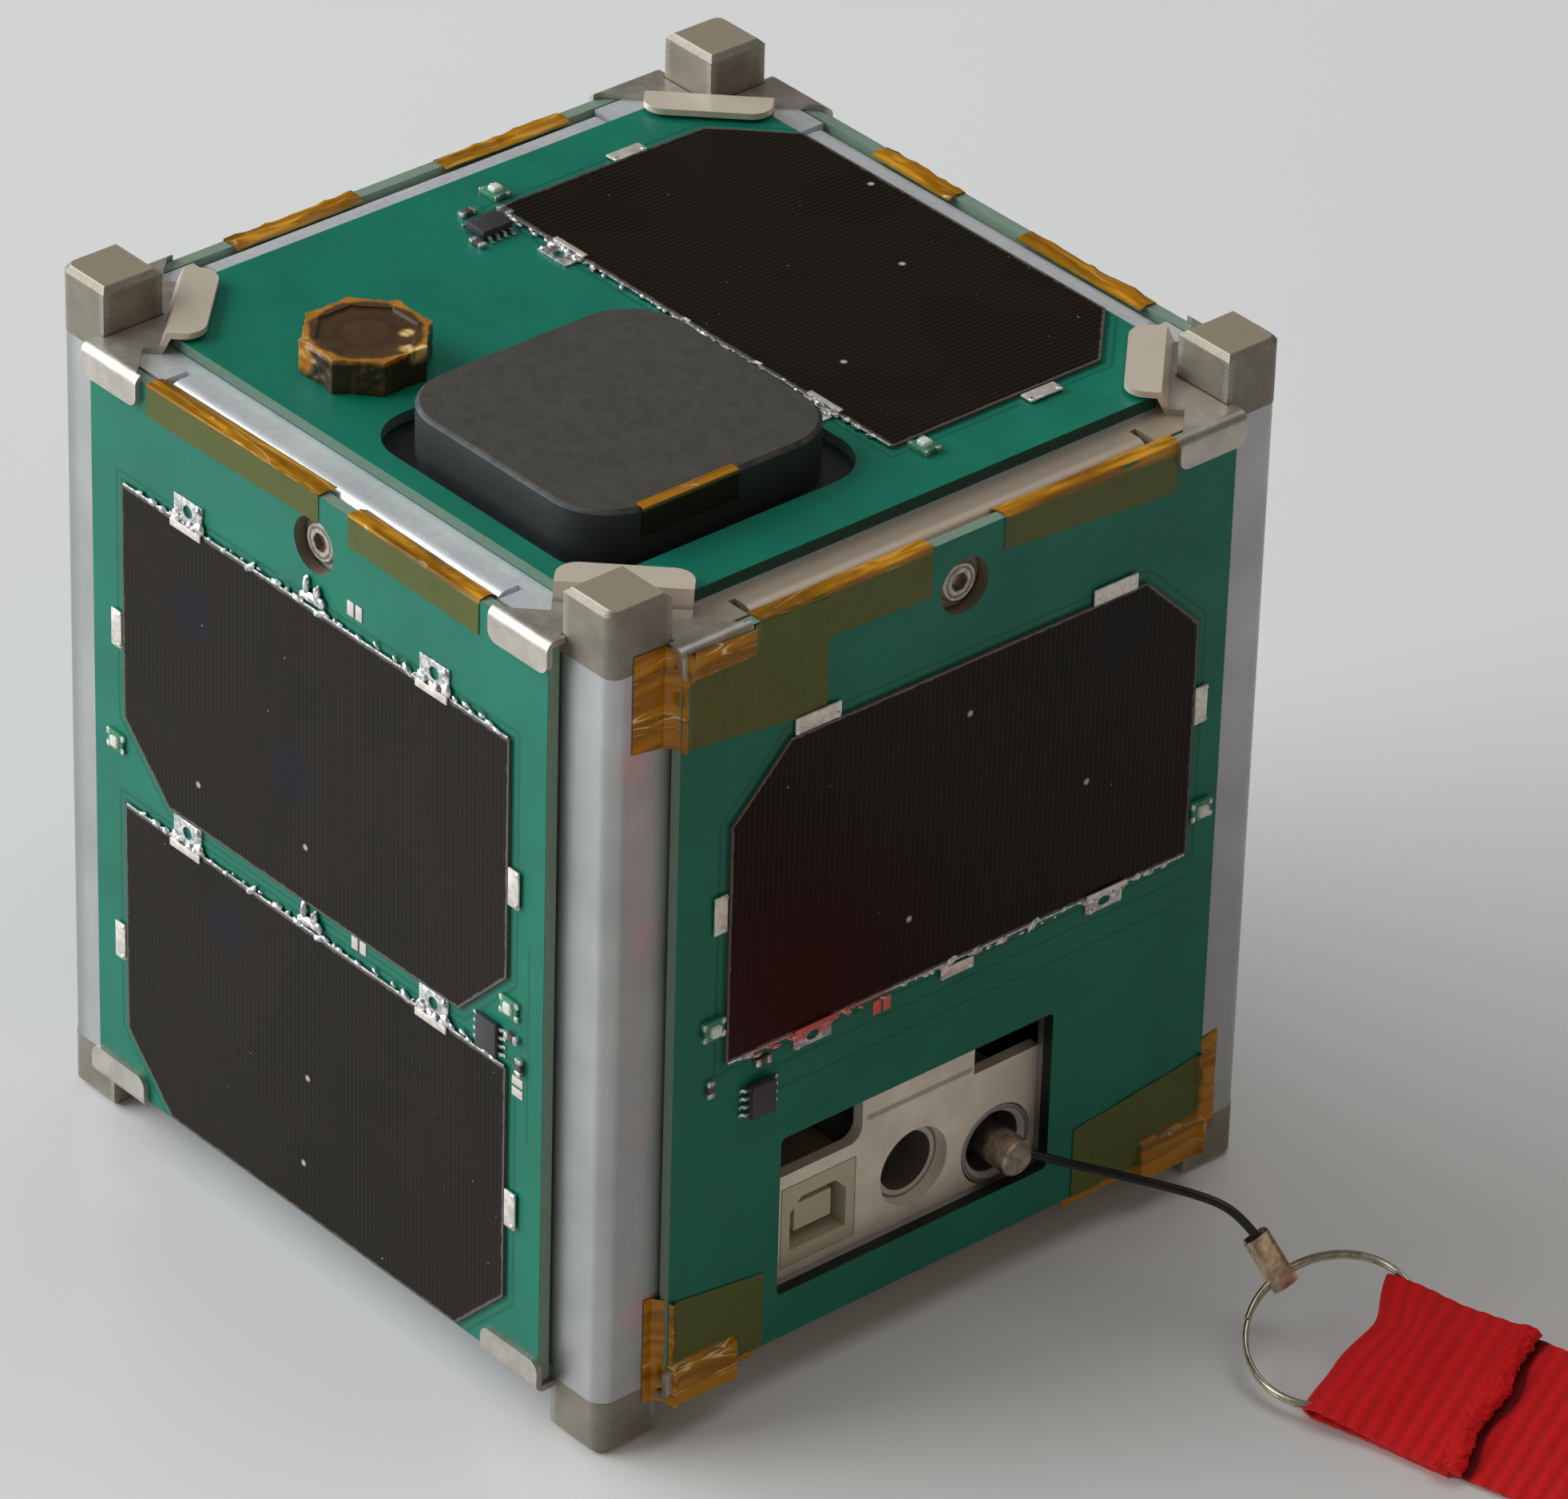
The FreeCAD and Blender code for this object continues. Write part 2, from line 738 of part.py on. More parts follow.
def top_board():
    """Circuit board on the cover plate, with a rounded cut-out for the antenna."""
    body = new_body("panel_top")
    plan = new_sketch(body, "XY", "plate_top")
    end_board_outline(plan)
    pad(body, plan, "board_thick")
    cut = new_sketch(body, "XY", "end_board_face")
    half = "(antenna_side / 2 + antenna_gap)"
    rectangle(
        cut, f"antenna_x - {half}", f"antenna_y - {half}", f"antenna_x + {half}",
        f"antenna_y + {half}",
    )
    pocket(body, cut)
    sides = [value(f"antenna_x {sign} {half}") for sign in "-+"]
    ends = [value(f"antenna_y {sign} {half}") for sign in "-+"]
    names = edge_names(
        body,
        lambda p: any(near(p.x, side) for side in sides) and any(near(p.y, end) for end in ends),
    )
    add_rounds(body, [n for n in names if edge_is(body, n, "up")], "antenna_corner - antenna_gap / 2")


def bottom_board():
    """Circuit board under the base plate."""
    body = new_body("panel_bottom", turned_over(0, Vector(1, 0, 0)))
    plan = new_sketch(body, "XY", "plate_top")
    end_board_outline(plan)
    pad(body, plan, "board_thick")


def top_cell():
    """The one solar cell on the top board."""
    body = new_body("cell_top")
    cell = new_sketch(body, "XY", "end_board_face")
    cell_outline(cell, "top_cell_shift", "top_cell_near", "end_cell_far", cut_low=False)
    pad(body, cell, "cell_thick")


def bottom_cells():
    """Two solar cells under the bottom board."""
    body = new_body("cells_bottom", turned_over(0, Vector(1, 0, 0)))
    body.AllowCompound = True
    cells = new_sketch(body, "XY", "end_board_face")
    cell_outline(cells, "0", "end_cell_near", "end_cell_far", cut_low=False)
    cell_outline(cells, "0", "-end_cell_far", "-end_cell_near", cut_low=True)
    pad(body, cells, "cell_thick")


def patch_antenna():
    """Square antenna with round corners, standing on the cover plate."""
    body = new_body("patch_antenna")
    plan = new_sketch(body, "XY", "plate_top")
    half = "antenna_side / 2"
    rectangle(
        plan, f"antenna_x - {half}", f"antenna_y - {half}", f"antenna_x + {half}",
        f"antenna_y + {half}",
    )
    pad(body, plan, "antenna_top - plate_top")
    names = [n for n in edge_names(body, lambda p: True) if edge_is(body, n, "up")]
    add_rounds(body, names, "antenna_corner")
    top = value("antenna_top")
    finish_edges(body, "Chamfer", "antenna_edge", lambda p: near(p.z, top))


def taped_cap():
    """Eight-sided cap with a shallow round dish in its top."""
    body = new_body("taped_cap")
    plan = new_sketch(body, "XY", "end_board_face")
    corners = []
    for step in range(8):
        angle = f"{22.5 + 45 * step}"
        reach = "cap_flats / 2 / cos(22.5)"
        corners.append((f"cap_x + {reach} * cos({angle})", f"cap_y + {reach} * sin({angle})"))
    outline(plan, corners)
    pad(body, plan, "cap_high")
    top = value("end_board_face + cap_high")
    finish_edges(body, "Chamfer", "cap_edge", lambda p: near(p.z, top))
    dish = new_sketch(body, "XY", "end_board_face + cap_high")
    circle(dish, "cap_x", "cap_y", "cap_dish")
    pocket(body, dish, "cap_dish_deep")


def port_plate():
    """Plate behind the access window, with a tab up behind the board and a hole for each port."""
    body = new_body("port_plate")
    face = new_sketch(body, "YZ", "plate_back")
    outline(
        face,
        [
            ("port_plate_left", "base_top"),
            ("port_plate_right", "base_top"),
            ("port_plate_right", "port_plate_high"),
            ("port_tab_right", "port_plate_high"),
            ("port_tab_right", "port_tab_high"),
            ("port_tab_left", "port_tab_high"),
            ("port_tab_left", "port_left_high"),
            ("port_plate_left", "port_left_high"),
        ],
    )
    pad(body, face, "sheet_thick")
    side, level = value("port_tab_left"), value("port_left_high")
    names = edge_names(body, lambda p: near(p.z, level) and near(p.y, side))
    add_rounds(body, [n for n in names if edge_is(body, n, "level")], "port_tab_round")
    holes = new_sketch(body, "YZ", "wall_in")
    circle(holes, "jack_y", "jack_z", "jack_window")
    circle(holes, "pin_y", "pin_z", "socket_window")
    rectangle(holes, *usb_sides("usb_wide + fit_gap", "usb_high + fit_gap"))
    pocket(body, holes)


def usb_sides(wide, high):
    """A rectangle about the middle of the data port."""
    return (
        f"usb_y - ({wide}) / 2", f"usb_z - ({high}) / 2",
        f"usb_y + ({wide}) / 2", f"usb_z + ({high}) / 2",
    )


def usb_port():
    """Square data port: a housing with a mouth cut at its upper corners, and a tongue in it."""
    body = new_body("usb_port")
    face = new_sketch(body, "YZ", "wall_in")
    rectangle(face, *usb_sides("usb_wide", "usb_high"))
    pad(body, face, "usb_deep", Reversed=True)
    mouth = new_sketch(body, "YZ", "wall_in")
    left, low, right, high = usb_sides("usb_mouth_wide", "usb_mouth_high")
    outline(
        mouth,
        [
            (left, low),
            (right, low),
            (right, f"{high} - usb_mouth_cut"),
            (f"{right} - usb_mouth_cut", high),
            (f"{left} + usb_mouth_cut", high),
            (left, f"{high} - usb_mouth_cut"),
        ],
    )
    rectangle(mouth, *usb_sides("usb_tongue_wide", "usb_tongue_high"))
    pocket(body, mouth, "usb_mouth_deep")
    tip = new_sketch(body, "YZ", "wall_in")
    rectangle(tip, *usb_sides("usb_tongue_wide + fit_gap", "usb_tongue_high + fit_gap"))
    pocket(body, tip, "usb_tongue_back")


def power_jack():
    """Round power jack: a block with a bore and a thin contact pin in it."""
    body = new_body("power_jack")
    face = new_sketch(body, "YZ", "plate_back")
    half = "jack_wide / 2"
    rectangle(face, f"jack_y - {half}", f"jack_z - {half}", f"jack_y + {half}", f"jack_z + {half}")
    pad(body, face, "jack_deep", Reversed=True)
    bore = new_sketch(body, "YZ", "plate_back")
    circle(bore, "jack_y", "jack_z", "jack_mouth")
    circle(bore, "jack_y", "jack_z", "jack_pin")
    pocket(body, bore, "jack_mouth_deep")
    tip = new_sketch(body, "YZ", "plate_back")
    circle(tip, "jack_y", "jack_z", "jack_pin + fit_gap")
    pocket(body, tip, "jack_pin_back")


def pin_socket():
    """Socket block behind the port plate, with a collar in its hole, for the pull pin."""
    body = new_body("pin_socket")
    face = new_sketch(body, "YZ", "plate_back")
    half = "socket_wide / 2"
    rectangle(face, f"pin_y - {half}", f"pin_z - {half}", f"pin_y + {half}", f"pin_z + {half}")
    pad(body, face, "socket_deep", Reversed=True)
    collar = new_sketch(body, "YZ", "plate_back")
    circle(collar, "pin_y", "pin_z", "socket_collar")
    pad(body, collar, "sheet_thick")
    mouth = new_sketch(body, "YZ", "wall_in")
    circle(mouth, "pin_y", "pin_z", "socket_mouth")
    pocket(body, mouth, "sheet_thick + socket_mouth_deep")
    rim, radius = value("wall_in"), value("socket_mouth")
    names = [f"Edge{n}" for n, edge in enumerate(body.Shape.Edges, start=1) if edge.Closed]
    at_mouth = [n for n in names if is_circle_at(body, n, rim, radius)]
    dress_edges(body, "Chamfer", "socket_bevel", at_mouth)
    bore = new_sketch(body, "YZ", "plate_back")
    circle(bore, "pin_y", "pin_z", "pin_radius + pin_fit")
    pocket(body, bore, "pin_in_socket + pin_run")


def is_circle_at(body, name, level, radius):
    """True for a circle about an axis along X, at this level and of this radius."""
    box = body.Shape.getElement(name).BoundBox
    return near(box.XMin, level) and near(box.XMax, level) and near(box.YLength, 2 * radius)


def pull_pin():
    """Straight round pin, bevelled at both ends."""
    body = new_body("pull_pin")
    face = new_sketch(body, "YZ", "pin_back")
    circle(face, "pin_y", "pin_z", "pin_radius")
    pad(body, face, "pin_face - pin_back")
    rims = [f"Edge{n}" for n, edge in enumerate(body.Shape.Edges, start=1) if edge.Closed]
    dress_edges(body, "Chamfer", "pin_bevel", rims)


def cover_screws():
    """One screw through the middle of each flange of the cover plate, with a bevelled head."""
    screws = []
    head, high = value("screw_head"), value("screw_head_high")
    face, radius, bevel = value("face"), value("screw_radius"), value("screw_bevel")
    start = Vector(face, 0, 0)
    for turns in range(4):
        profile = [(0, 0), (0, head), (high - bevel, head), (high, head - bevel), (high, 0), (0, 0)]
        corners = [Vector(face + out, reach, 0) for out, reach in profile]
        cap = Part.Face(Part.makePolygon(corners)).revolve(start, Vector(1, 0, 0), 360)
        long = value("screw_long")
        shank = Part.makeCylinder(radius, long, Vector(face - long, 0, 0), Vector(1, 0, 0))
        socket = hexagon_prism(face + high, value("screw_socket"), value("screw_socket_deep"))
        screw = cap.fuse(shank).cut(socket).removeSplitter()
        screw.translate(Vector(0, 0, value("screw_z")))
        screw.rotate(Vector(), Vector(0, 0, 1), 90 * turns)
        screws.append(screw)
    new_feature("cover_screws", Part.makeCompound(screws))


def hexagon_prism(front, reach, deep):
    """A six-sided recess along X, from just in front of a face to its depth."""
    around = [math.radians(60 * step) for step in range(7)]
    past = value("cut_past")
    corners = [Vector(front + past, reach * math.cos(a), reach * math.sin(a)) for a in around]
    return Part.Face(Part.makePolygon(corners)).extrude(Vector(-deep - past, 0, 0))


def electronics_stack():
    """The stack of circuit boards on the base plate, as one plain block."""
    block = doc.addObject("Part::Box", "Piece_electronics_stack")
    block.Label = "electronics_stack"
    bind(block, Length="stack_front + stack_side", Width="2 * stack_side", Height="stack_high")
    block.setExpression("Placement.Base.x", formula("-stack_side"))
    block.setExpression("Placement.Base.y", formula("-stack_side"))
    block.setExpression("Placement.Base.z", formula("base_top"))
    PARTS.append(block)


def rounded_path(points):
    """Straight runs joined by tangent arcs, and the arcs' radii."""
    points = [Vector(*point) for point in points]
    edges, radii = [], []
    start = points[0]
    for before, here, after in zip(points, points[1:], points[2:]):
        arriving, leaving = (here - before), (after - here)
        half_turn = arriving.getAngle(leaving) / 2
        reach = ARC_SHARE * min(arriving.Length, leaving.Length)
        radius = reach / math.tan(half_turn)
        first = here - arriving.normalize() * reach
        last = here + leaving.normalize() * reach
        inward = (leaving - arriving).normalize()
        middle = here + inward * (radius / math.cos(half_turn) - radius)
        edges.append(Part.LineSegment(start, first).toShape())
        edges.append(Part.Arc(first, middle, last).toShape())
        radii.append(radius)
        start = last
    edges.append(Part.LineSegment(start, points[-1]).toShape())
    return Part.Wire(edges), radii


def swept_along(path, section):
    """The runs of a bar: the section is carried along each straight run and each arc in turn."""
    runs = []
    for edge in path.OrderedEdges:
        following = section.copy()
        if isinstance(edge.Curve, Part.Line):
            step = edge.valueAt(edge.LastParameter) - edge.valueAt(edge.FirstParameter)
            runs.append(section.extrude(step))
            following.translate(step)
        else:
            turn = math.degrees(edge.LastParameter - edge.FirstParameter)
            runs.append(section.revolve(edge.Curve.Center, edge.Curve.Axis, turn))
            following.rotate(edge.Curve.Center, edge.Curve.Axis, turn)
        section = following
    return runs


def lanyard_cord():
    """Thin cord from the cross hole of the pin to the crimp, with a many-sided section."""
    path, radii = rounded_path(CORD_ROUTE)
    start = Placement(path.Vertexes[0].Point, Rotation(Vector(0, 0, 1), path.Edges[0].tangentAt(0)))
    around = [math.tau * step / CORD_SIDES for step in range(CORD_SIDES + 1)]
    radius = value("cord_radius")
    corners = [Vector(radius * math.cos(a), radius * math.sin(a), 0) for a in around]
    section = Part.Face(Part.makePolygon([start.multVec(corner) for corner in corners]))
    runs = swept_along(path, section)
    tube = runs[0].multiFuse(runs[1:]).removeSplitter()
    if abs(tube.Volume / (section.Area * path.Length) - 1) > 0.01:
        raise ValueError("the cord's tube has not the volume of its section times its length")
    print("cord arc radii", [round(number, 2) for number in radii], "length", round(path.Length, 2))
    new_feature("lanyard_cord", tube)


def ring_frame():
    """The ring's own frame: X along the strap, Y up the slope, Z across the ring's plane."""
    turn = Rotation(Vector(0, 0, 1), value("ring_turn"))
    tilt = Rotation(Vector(1, 0, 0), value("ring_tilt"))
    place = Vector(value("ring_x"), value("ring_y"), value("ring_z"))
    return Placement(place, turn.multiply(tilt))


def lanyard_ring():
    """Split ring: two coils of wire that lie against each other, with a groove round the seam."""
    middle, half = value("ring_radius"), value("ring_wire") / 2
    height, bevel = value("ring_coil_high"), value("ring_bevel")
    upper = [(half - bevel, 0), (half, bevel), (half, height), (-half, height)]
    lower = [(out, -up) for out, up in upper[:0:-1]]
    coils = [Vector(middle + out, 0, up) for out, up in upper + lower]
    section = Part.Face(Part.makePolygon(coils + coils[:1]))
    ring = section.revolve(Vector(), Vector(0, 0, 1), 360)
    new_feature("lanyard_ring", ring, ring_frame())


def lanyard_crimp():
    """Folded sheet clamp: it closes on the cord's end and loops round the ring."""
    start = Vector(*CORD_ROUTE[-1])
    frame = ring_frame()
    towards = frame.inverse().multVec(start)
    towards.z = 0
    wire_place = frame.multVec(towards.normalize() * value("ring_radius"))
    length = (wire_place - start).Length
    way = (wire_place - start).normalize()
    side = frame.Rotation.multVec(Vector(0, 0, 1)).cross(frame.Rotation.multVec(towards))
    thick, wide = value("crimp_thick"), value("crimp_wide")
    loop = value("ring_coil_high + crimp_gap")
    throat = value("cord_radius")
    # The profile lies in X and Z: the loop is about the origin, and the throat is along -X.
    outer = teardrop(length, loop + thick, throat + thick)
    inner = teardrop(length + value("cut_past"), loop, throat)
    strip = outer.cut(inner).extrude(Vector(0, wide, 0))
    strip.translate(Vector(0, -wide / 2, 0))
    across = side - way * side.dot(way)
    turn = Rotation(way, across.normalize(), Vector(0, 0, 1), "XYZ")
    print("crimp length", round(length + loop + thick, 2))
    new_feature("lanyard_crimp", strip.removeSplitter(), Placement(wire_place, turn))


def teardrop(length, big, small):
    """A disc about the origin with a tapered neck along -X, as a face in X and Z."""
    disc = Part.Face(Part.Wire(Part.makeCircle(big, Vector(), Vector(0, 1, 0))))
    corners = [(0, big), (-length, small), (-length, -small), (0, -big), (0, big)]
    neck = Part.Face(Part.makePolygon([Vector(x, 0, z) for x, z in corners]))
    return disc.fuse(neck).removeSplitter()


def lanyard_strap():
    """Ribbed strap folded round the ring and sewn down, rolled near the ring and flat beyond."""
    wide, thick = value("strap_wide"), value("strap_thick")
    inner = value("ring_coil_high + strap_gap")
    shift = value("strap_shift")
    fold, seam = value("strap_fold"), value("strap_seam")
    frame = ring_frame()
    # Profile of the fold in X and Z of the ring's frame: the two layers meet at the seam.
    close = seam - value("strap_close")
    pocket_end = seam - value("strap_close + strap_lap")
    outer = [(fold + inner, inner + thick), (close, inner + thick), (seam, -inner + thick)]
    outer += [(seam, -inner - thick), (fold + inner, -inner - thick)]
    hollow = [(fold + inner, inner), (pocket_end, inner)]
    hollow += [(pocket_end + value("strap_pocket"), -inner), (fold + inner, -inner)]
    whole = folded_face(outer, fold + inner, inner + thick)
    space = folded_face(hollow, fold + inner, inner)
    profile = whole.cut(space)
    profile.translate(Vector(0, shift - wide / 2, 0))
    loop = profile.extrude(Vector(0, wide, 0)).transformed(frame.toMatrix())
    sections = []
    level = value("strap_level")
    for step in range(ROLL_STEPS + 1):
        share = step / ROLL_STEPS
        sections.append(strap_section(seam + share * (level - seam), share))
    sections.append(strap_section(value("strap_end"), 1))
    tail = Part.makeLoft(sections, True, True)
    whole_strap = loop.fuse(tail).removeSplitter()
    new_feature("lanyard_strap", whole_strap)


def folded_face(corners, centre, radius):
    """A face in X and Z: the corners, closed at their left by a half round."""
    points = [Vector(x, 0, z) for x, z in corners]
    round_end = Part.Arc(points[-1], Vector(centre - radius, 0, 0), points[0]).toShape()
    return Part.Face(Part.Wire([Part.makePolygon(points), round_end]))


def strap_section(reach, share):
    """The strap's rectangle at one reach along it, rolled less as the share grows."""
    frame = ring_frame()
    wide, thick = value("strap_wide"), value("strap_thick")
    inner = value("ring_coil_high + strap_gap")
    tilt = value("ring_tilt") * (1 - share)
    turn = Rotation(Vector(0, 0, 1), value("ring_turn"))
    near_edge = frame.multVec(Vector(reach, value("strap_shift") - wide / 2, -inner - thick))
    near_edge.z = near_edge.z * (1 - share)
    place = Placement(near_edge, turn.multiply(Rotation(Vector(1, 0, 0), tilt)))
    corners = [(0, 0), (wide, 0), (wide, thick), (0, thick), (0, 0)]
    return Part.makePolygon([place.multVec(Vector(0, y, z)) for y, z in corners])


CORNERS = {"front": 3, "right": 0, "back": 1, "left": 2}
SIDES = {"y_minus": 3, "y_plus": 1, "x_minus": 2}
DIAGONAL = Placement(Vector(), Rotation(Vector(0, 0, 1), 45))

chassis_walls()
end_plate("cover_plate", Placement(), [(1, 0), (-1, 0), (0, 1), (0, -1)])
end_plate("base_plate", turned_over(0, Vector(1, 0, 0)), [(-1, 0), (0, 1), (0, -1)])
for corner, turns in CORNERS.items():
    foot(f"foot_upper_{corner}", "wall_top", "frame_height", "frame_height", turns)
    foot(f"foot_lower_{corner}", "0", "foot_lower", "0", turns)
    clip(f"clip_upper_{corner}", quarter_turns(turns).multiply(DIAGONAL))
    over = turned_over(turns, Vector(1, 1, 0))
    clip(f"clip_lower_{corner}", over.multiply(DIAGONAL))
side_board("panel_x_plus", 0, window=True)
window_cell()
for side, turns in SIDES.items():
    side_board(f"panel_{side}", turns, window=False)
    side_cells(f"cells_{side}", turns)
top_board()
bottom_board()
top_cell()
bottom_cells()
patch_antenna()
taped_cap()
port_plate()
usb_port()
power_jack()
pin_socket()
pull_pin()
cover_screws()
electronics_stack()
lanyard_cord()
lanyard_ring()
lanyard_crimp()
lanyard_strap()

doc.recompute()
for item in doc.Objects:
    if "Invalid" in item.State or "Error" in item.State:
        raise ValueError(f"{item.Label} failed: {item.State}")
for part in PARTS:
    if part.Shape.isNull() or not part.Shape.isValid() or part.Shape.Volume <= 0:
        raise ValueError(f"{part.Label} has no sound shape")

os.makedirs("parts", exist_ok=True)
for part in PARTS:
    part.Shape.exportStep(f"parts/{part.Label}.step")
print(len(PARTS), "parts written")
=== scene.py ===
import math
import random
from contextlib import contextmanager

import bmesh
import bpy
from bpy.props import FloatProperty, FloatVectorProperty, IntProperty, PointerProperty
from mathutils import Matrix, Vector, noise


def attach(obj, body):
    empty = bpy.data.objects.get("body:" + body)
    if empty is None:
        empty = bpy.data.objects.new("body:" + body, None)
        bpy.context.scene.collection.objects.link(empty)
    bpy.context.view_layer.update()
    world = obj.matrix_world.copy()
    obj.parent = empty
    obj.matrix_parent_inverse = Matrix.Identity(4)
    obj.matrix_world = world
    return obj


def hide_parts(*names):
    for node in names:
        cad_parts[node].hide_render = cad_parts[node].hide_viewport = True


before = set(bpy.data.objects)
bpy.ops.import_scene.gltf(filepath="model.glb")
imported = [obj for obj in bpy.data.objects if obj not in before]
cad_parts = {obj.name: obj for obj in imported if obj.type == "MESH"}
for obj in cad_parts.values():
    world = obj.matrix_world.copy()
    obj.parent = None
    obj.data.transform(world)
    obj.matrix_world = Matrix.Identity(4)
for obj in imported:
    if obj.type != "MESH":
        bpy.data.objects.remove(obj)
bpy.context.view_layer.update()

bl_info = {
    "name": "Cube satellite with pull pin",
    "version": (1, 0, 0),
    "blender": (4, 5, 0),
    "location": "3D View > Sidebar > Satellite",
    "description": "Dresses the cube satellite: boards, cells, tapes, small parts and lanyard",
    "category": "Object",
}

# One millimetre, in the metres of the frame. Lengths below are in millimetres.
MM = 0.001

# A slanting direction along which faces are put in order.
ORDER_WAY = Vector((1.0, 0.73, 0.41))

# Faces of the boards, from the middle or the floor, and the whole height.
SIDE_FACE = 52.0
TOP_FACE = 108.2
FRAME_HIGH = 113.5

# The bare strip of each rail, the corner clips' tabs and the screw holes of the side boards.
RAIL_FACE = 50.0
RAIL_START = 41.5
CLIP_START = 31.6
HOLE_UP = 99.8

# Quarter turns that bring the face with the window to each side.
SIDE_TURNS = {"x_plus": 0, "y_plus": 1, "x_minus": 2, "y_minus": 3}
PLAIN_SIDES = ("y_minus", "y_plus", "x_minus")

# Outlines of the cells on each board: centre, low, high and whether the lower corners are cut.
SIDE_CELLS = [(0.0, 7.4, 47.6, True), (0.0, 51.3, 91.5, True)]
CELL_ROWS = {
    "x_plus": [(1.3, 49.5, 89.7, False)],
    "x_minus": SIDE_CELLS,
    "y_plus": SIDE_CELLS,
    "y_minus": SIDE_CELLS,
    "top": [(-0.5, 3.9, 44.1, False)],
    "bottom": [(0.0, 3.9, 44.1, False), (0.0, -44.1, -3.9, True)],
}
CELL_HALF = 35.4
CELL_CUT = 8.5

# Dust specks and bluish spots on the cells.
SPECKS = {
    "x_plus": [(52.4, 1.3, 82.5), (52.4, -6.9, 58.0), (52.4, 20.0, 66.0)],
    "y_minus": [
        (-21.2, -52.4, 57.4), (-1.1, -52.4, 58.9), (-0.7, -52.4, 27.0), (-1.5, -52.4, 14.6),
    ],
    "top": [(-12.9, 42.2, 108.6), (3.9, 32.4, 108.6), (17.0, 12.0, 108.6)],
}
BLUE_SPOTS = {
    "y_minus": [(-22.2, -52.4, 80.6), (-3.6, -52.4, 68.0), (-15.8, -52.4, 40.4)],
    "x_plus": [(52.4, 24.5, 84.0)],
}

# Middle of the eight-sided cap, and the height of its body.
CAP_PLACE = (-17.0, -31.0, TOP_FACE + 2.25)
CAP_HIGH = 4.4

# Route of the cord from the pin to the clamp, in metres.
CORD_ROUTE = [
    (0.0504, 0.0128, 0.0167),
    (0.0541, 0.0158, 0.0157),
    (0.0627, 0.0198, 0.0163),
    (0.0716, 0.0242, 0.0164),
    (0.0755, 0.0261, 0.0152),
    (0.0777, 0.0271, 0.0126),
]

# The split ring lies in a plane of its own, turned about Z and then tilted, in degrees.
RING_PLACE = (90.74, 27.57, 6.4)
RING_TURN = 15.7
RING_TILT = 25.4

# The strap in the ring's frame: where its fold, seam, level part and end lie along it, its shift
# across, the height of its lower layer there, and how low its edge lies.
FOLD_X = 3.05
SEAM_X = 21.5
LEVEL_X = 75.0
END_X = 130.0
STRAP_SHIFT = -0.8
STRAP_UNDER = -1.4
STRAP_LOW = 1.95

# Steps along a strip of film and along the webbing, and steps round the strap's fold.
FILM_STEP = 0.3
STRAP_STEP = 0.3
FOLD_TURNS = 16


def paint(red, green, blue):
    """A display colour, 0 to 255 a channel, as the linear colour that shaders take."""

    def straight(level):
        share = level / 255
        return share / 12.92 if share <= 0.04045 else ((share + 0.055) / 1.055) ** 2.4

    return (straight(red), straight(green), straight(blue))


def shaded(colour, share):
    """A colour made darker or lighter."""
    return tuple(channel * share for channel in colour)


def in_mm(name, description, millimetres):
    """A length, typed in millimetres."""
    return FloatProperty(
        name=name, description=description, unit="LENGTH", default=millimetres * MM
    )


def in_watts(name, description, watts):
    """The power of a lamp."""
    return FloatProperty(name=name, description=description, subtype="POWER", default=watts)


def in_degrees(name, description, degrees):
    """An angle, typed in degrees."""
    return FloatProperty(
        name=name, description=description, subtype="ANGLE", default=math.radians(degrees)
    )


def in_colour(name, description, *display):
    """A colour, typed as a display colour."""
    return FloatVectorProperty(
        name=name,
        description=description,
        subtype="COLOR",
        default=paint(*display),
        min=0.0,
        max=1.0,
    )


class StageSettings(bpy.types.PropertyGroup):
    """Camera, lamps and floor."""

    camera_place: FloatVectorProperty(
        name="Camera place",
        description="Where the camera stands",
        subtype="TRANSLATION",
        unit="LENGTH",
        default=(0.729008, -0.626496, 0.658848),
    )
    azimuth: in_degrees("Azimuth", "How far the camera has gone round from the front", 48.446)
    elevation: in_degrees("Elevation", "How far the camera looks down", 32.236)
    roll: in_degrees("Roll", "Turn of the camera about its own line of sight", 1.727)
    lens: FloatProperty(
        name="Lens", description="Focal length on a 36 mm sensor", default=220.49, min=10.0
    )
    window_power: in_watts("Window light", "Power of the wide lamp at the left", 136.0)
    ceiling_power: in_watts("Ceiling light", "Power of the lamp overhead", 13.0)
    room_power: in_watts("Room light", "Power of the warm lamp at the right", 5.0)
    room_level: FloatProperty(
        name="Room level", description="Strength of the light from all round", default=0.13
    )
    floor_colour: in_colour("Floor", "Colour of the table", 236, 236, 236)


class BoardSettings(bpy.types.PropertyGroup):
    """Boards, cells and the small parts on them."""

    mask_green: in_colour("Board green", "Colour of the solder mask", 5, 112, 90)
    cell_brown: in_colour("Cell brown", "Colour of the solar cells", 25, 19, 12)
    grid_pitch: FloatProperty(
        name="Grid pitch",
        description="Distance between the fine lines on a cell, in millimetres",
        default=0.76,
        min=0.2,
    )
    tab_wide: in_mm("Tab width", "Width of a soldered tab, along the edge of its cell", 5.2)
    tab_high: in_mm("Tab height", "Height of a soldered tab, away from its cell", 3.4)
    solder_lumps: IntProperty(
        name="Solder lumps",
        description="Lumps of solder along one edge of a cell",
        default=46,
        min=4,
    )


class TapeSettings(bpy.types.PropertyGroup):
    """Amber film that holds the boards."""

    film_thick: in_mm("Film thickness", "Thickness of the tape", 0.06)
    crease: in_mm("Crease height", "How far the creases of a bridging tape stand out", 0.28)
    amber: in_colour("Amber", "Colour of the film over bare metal", 186, 124, 8)
    olive: in_colour("Olive", "Colour of the film over a green board", 90, 98, 40)


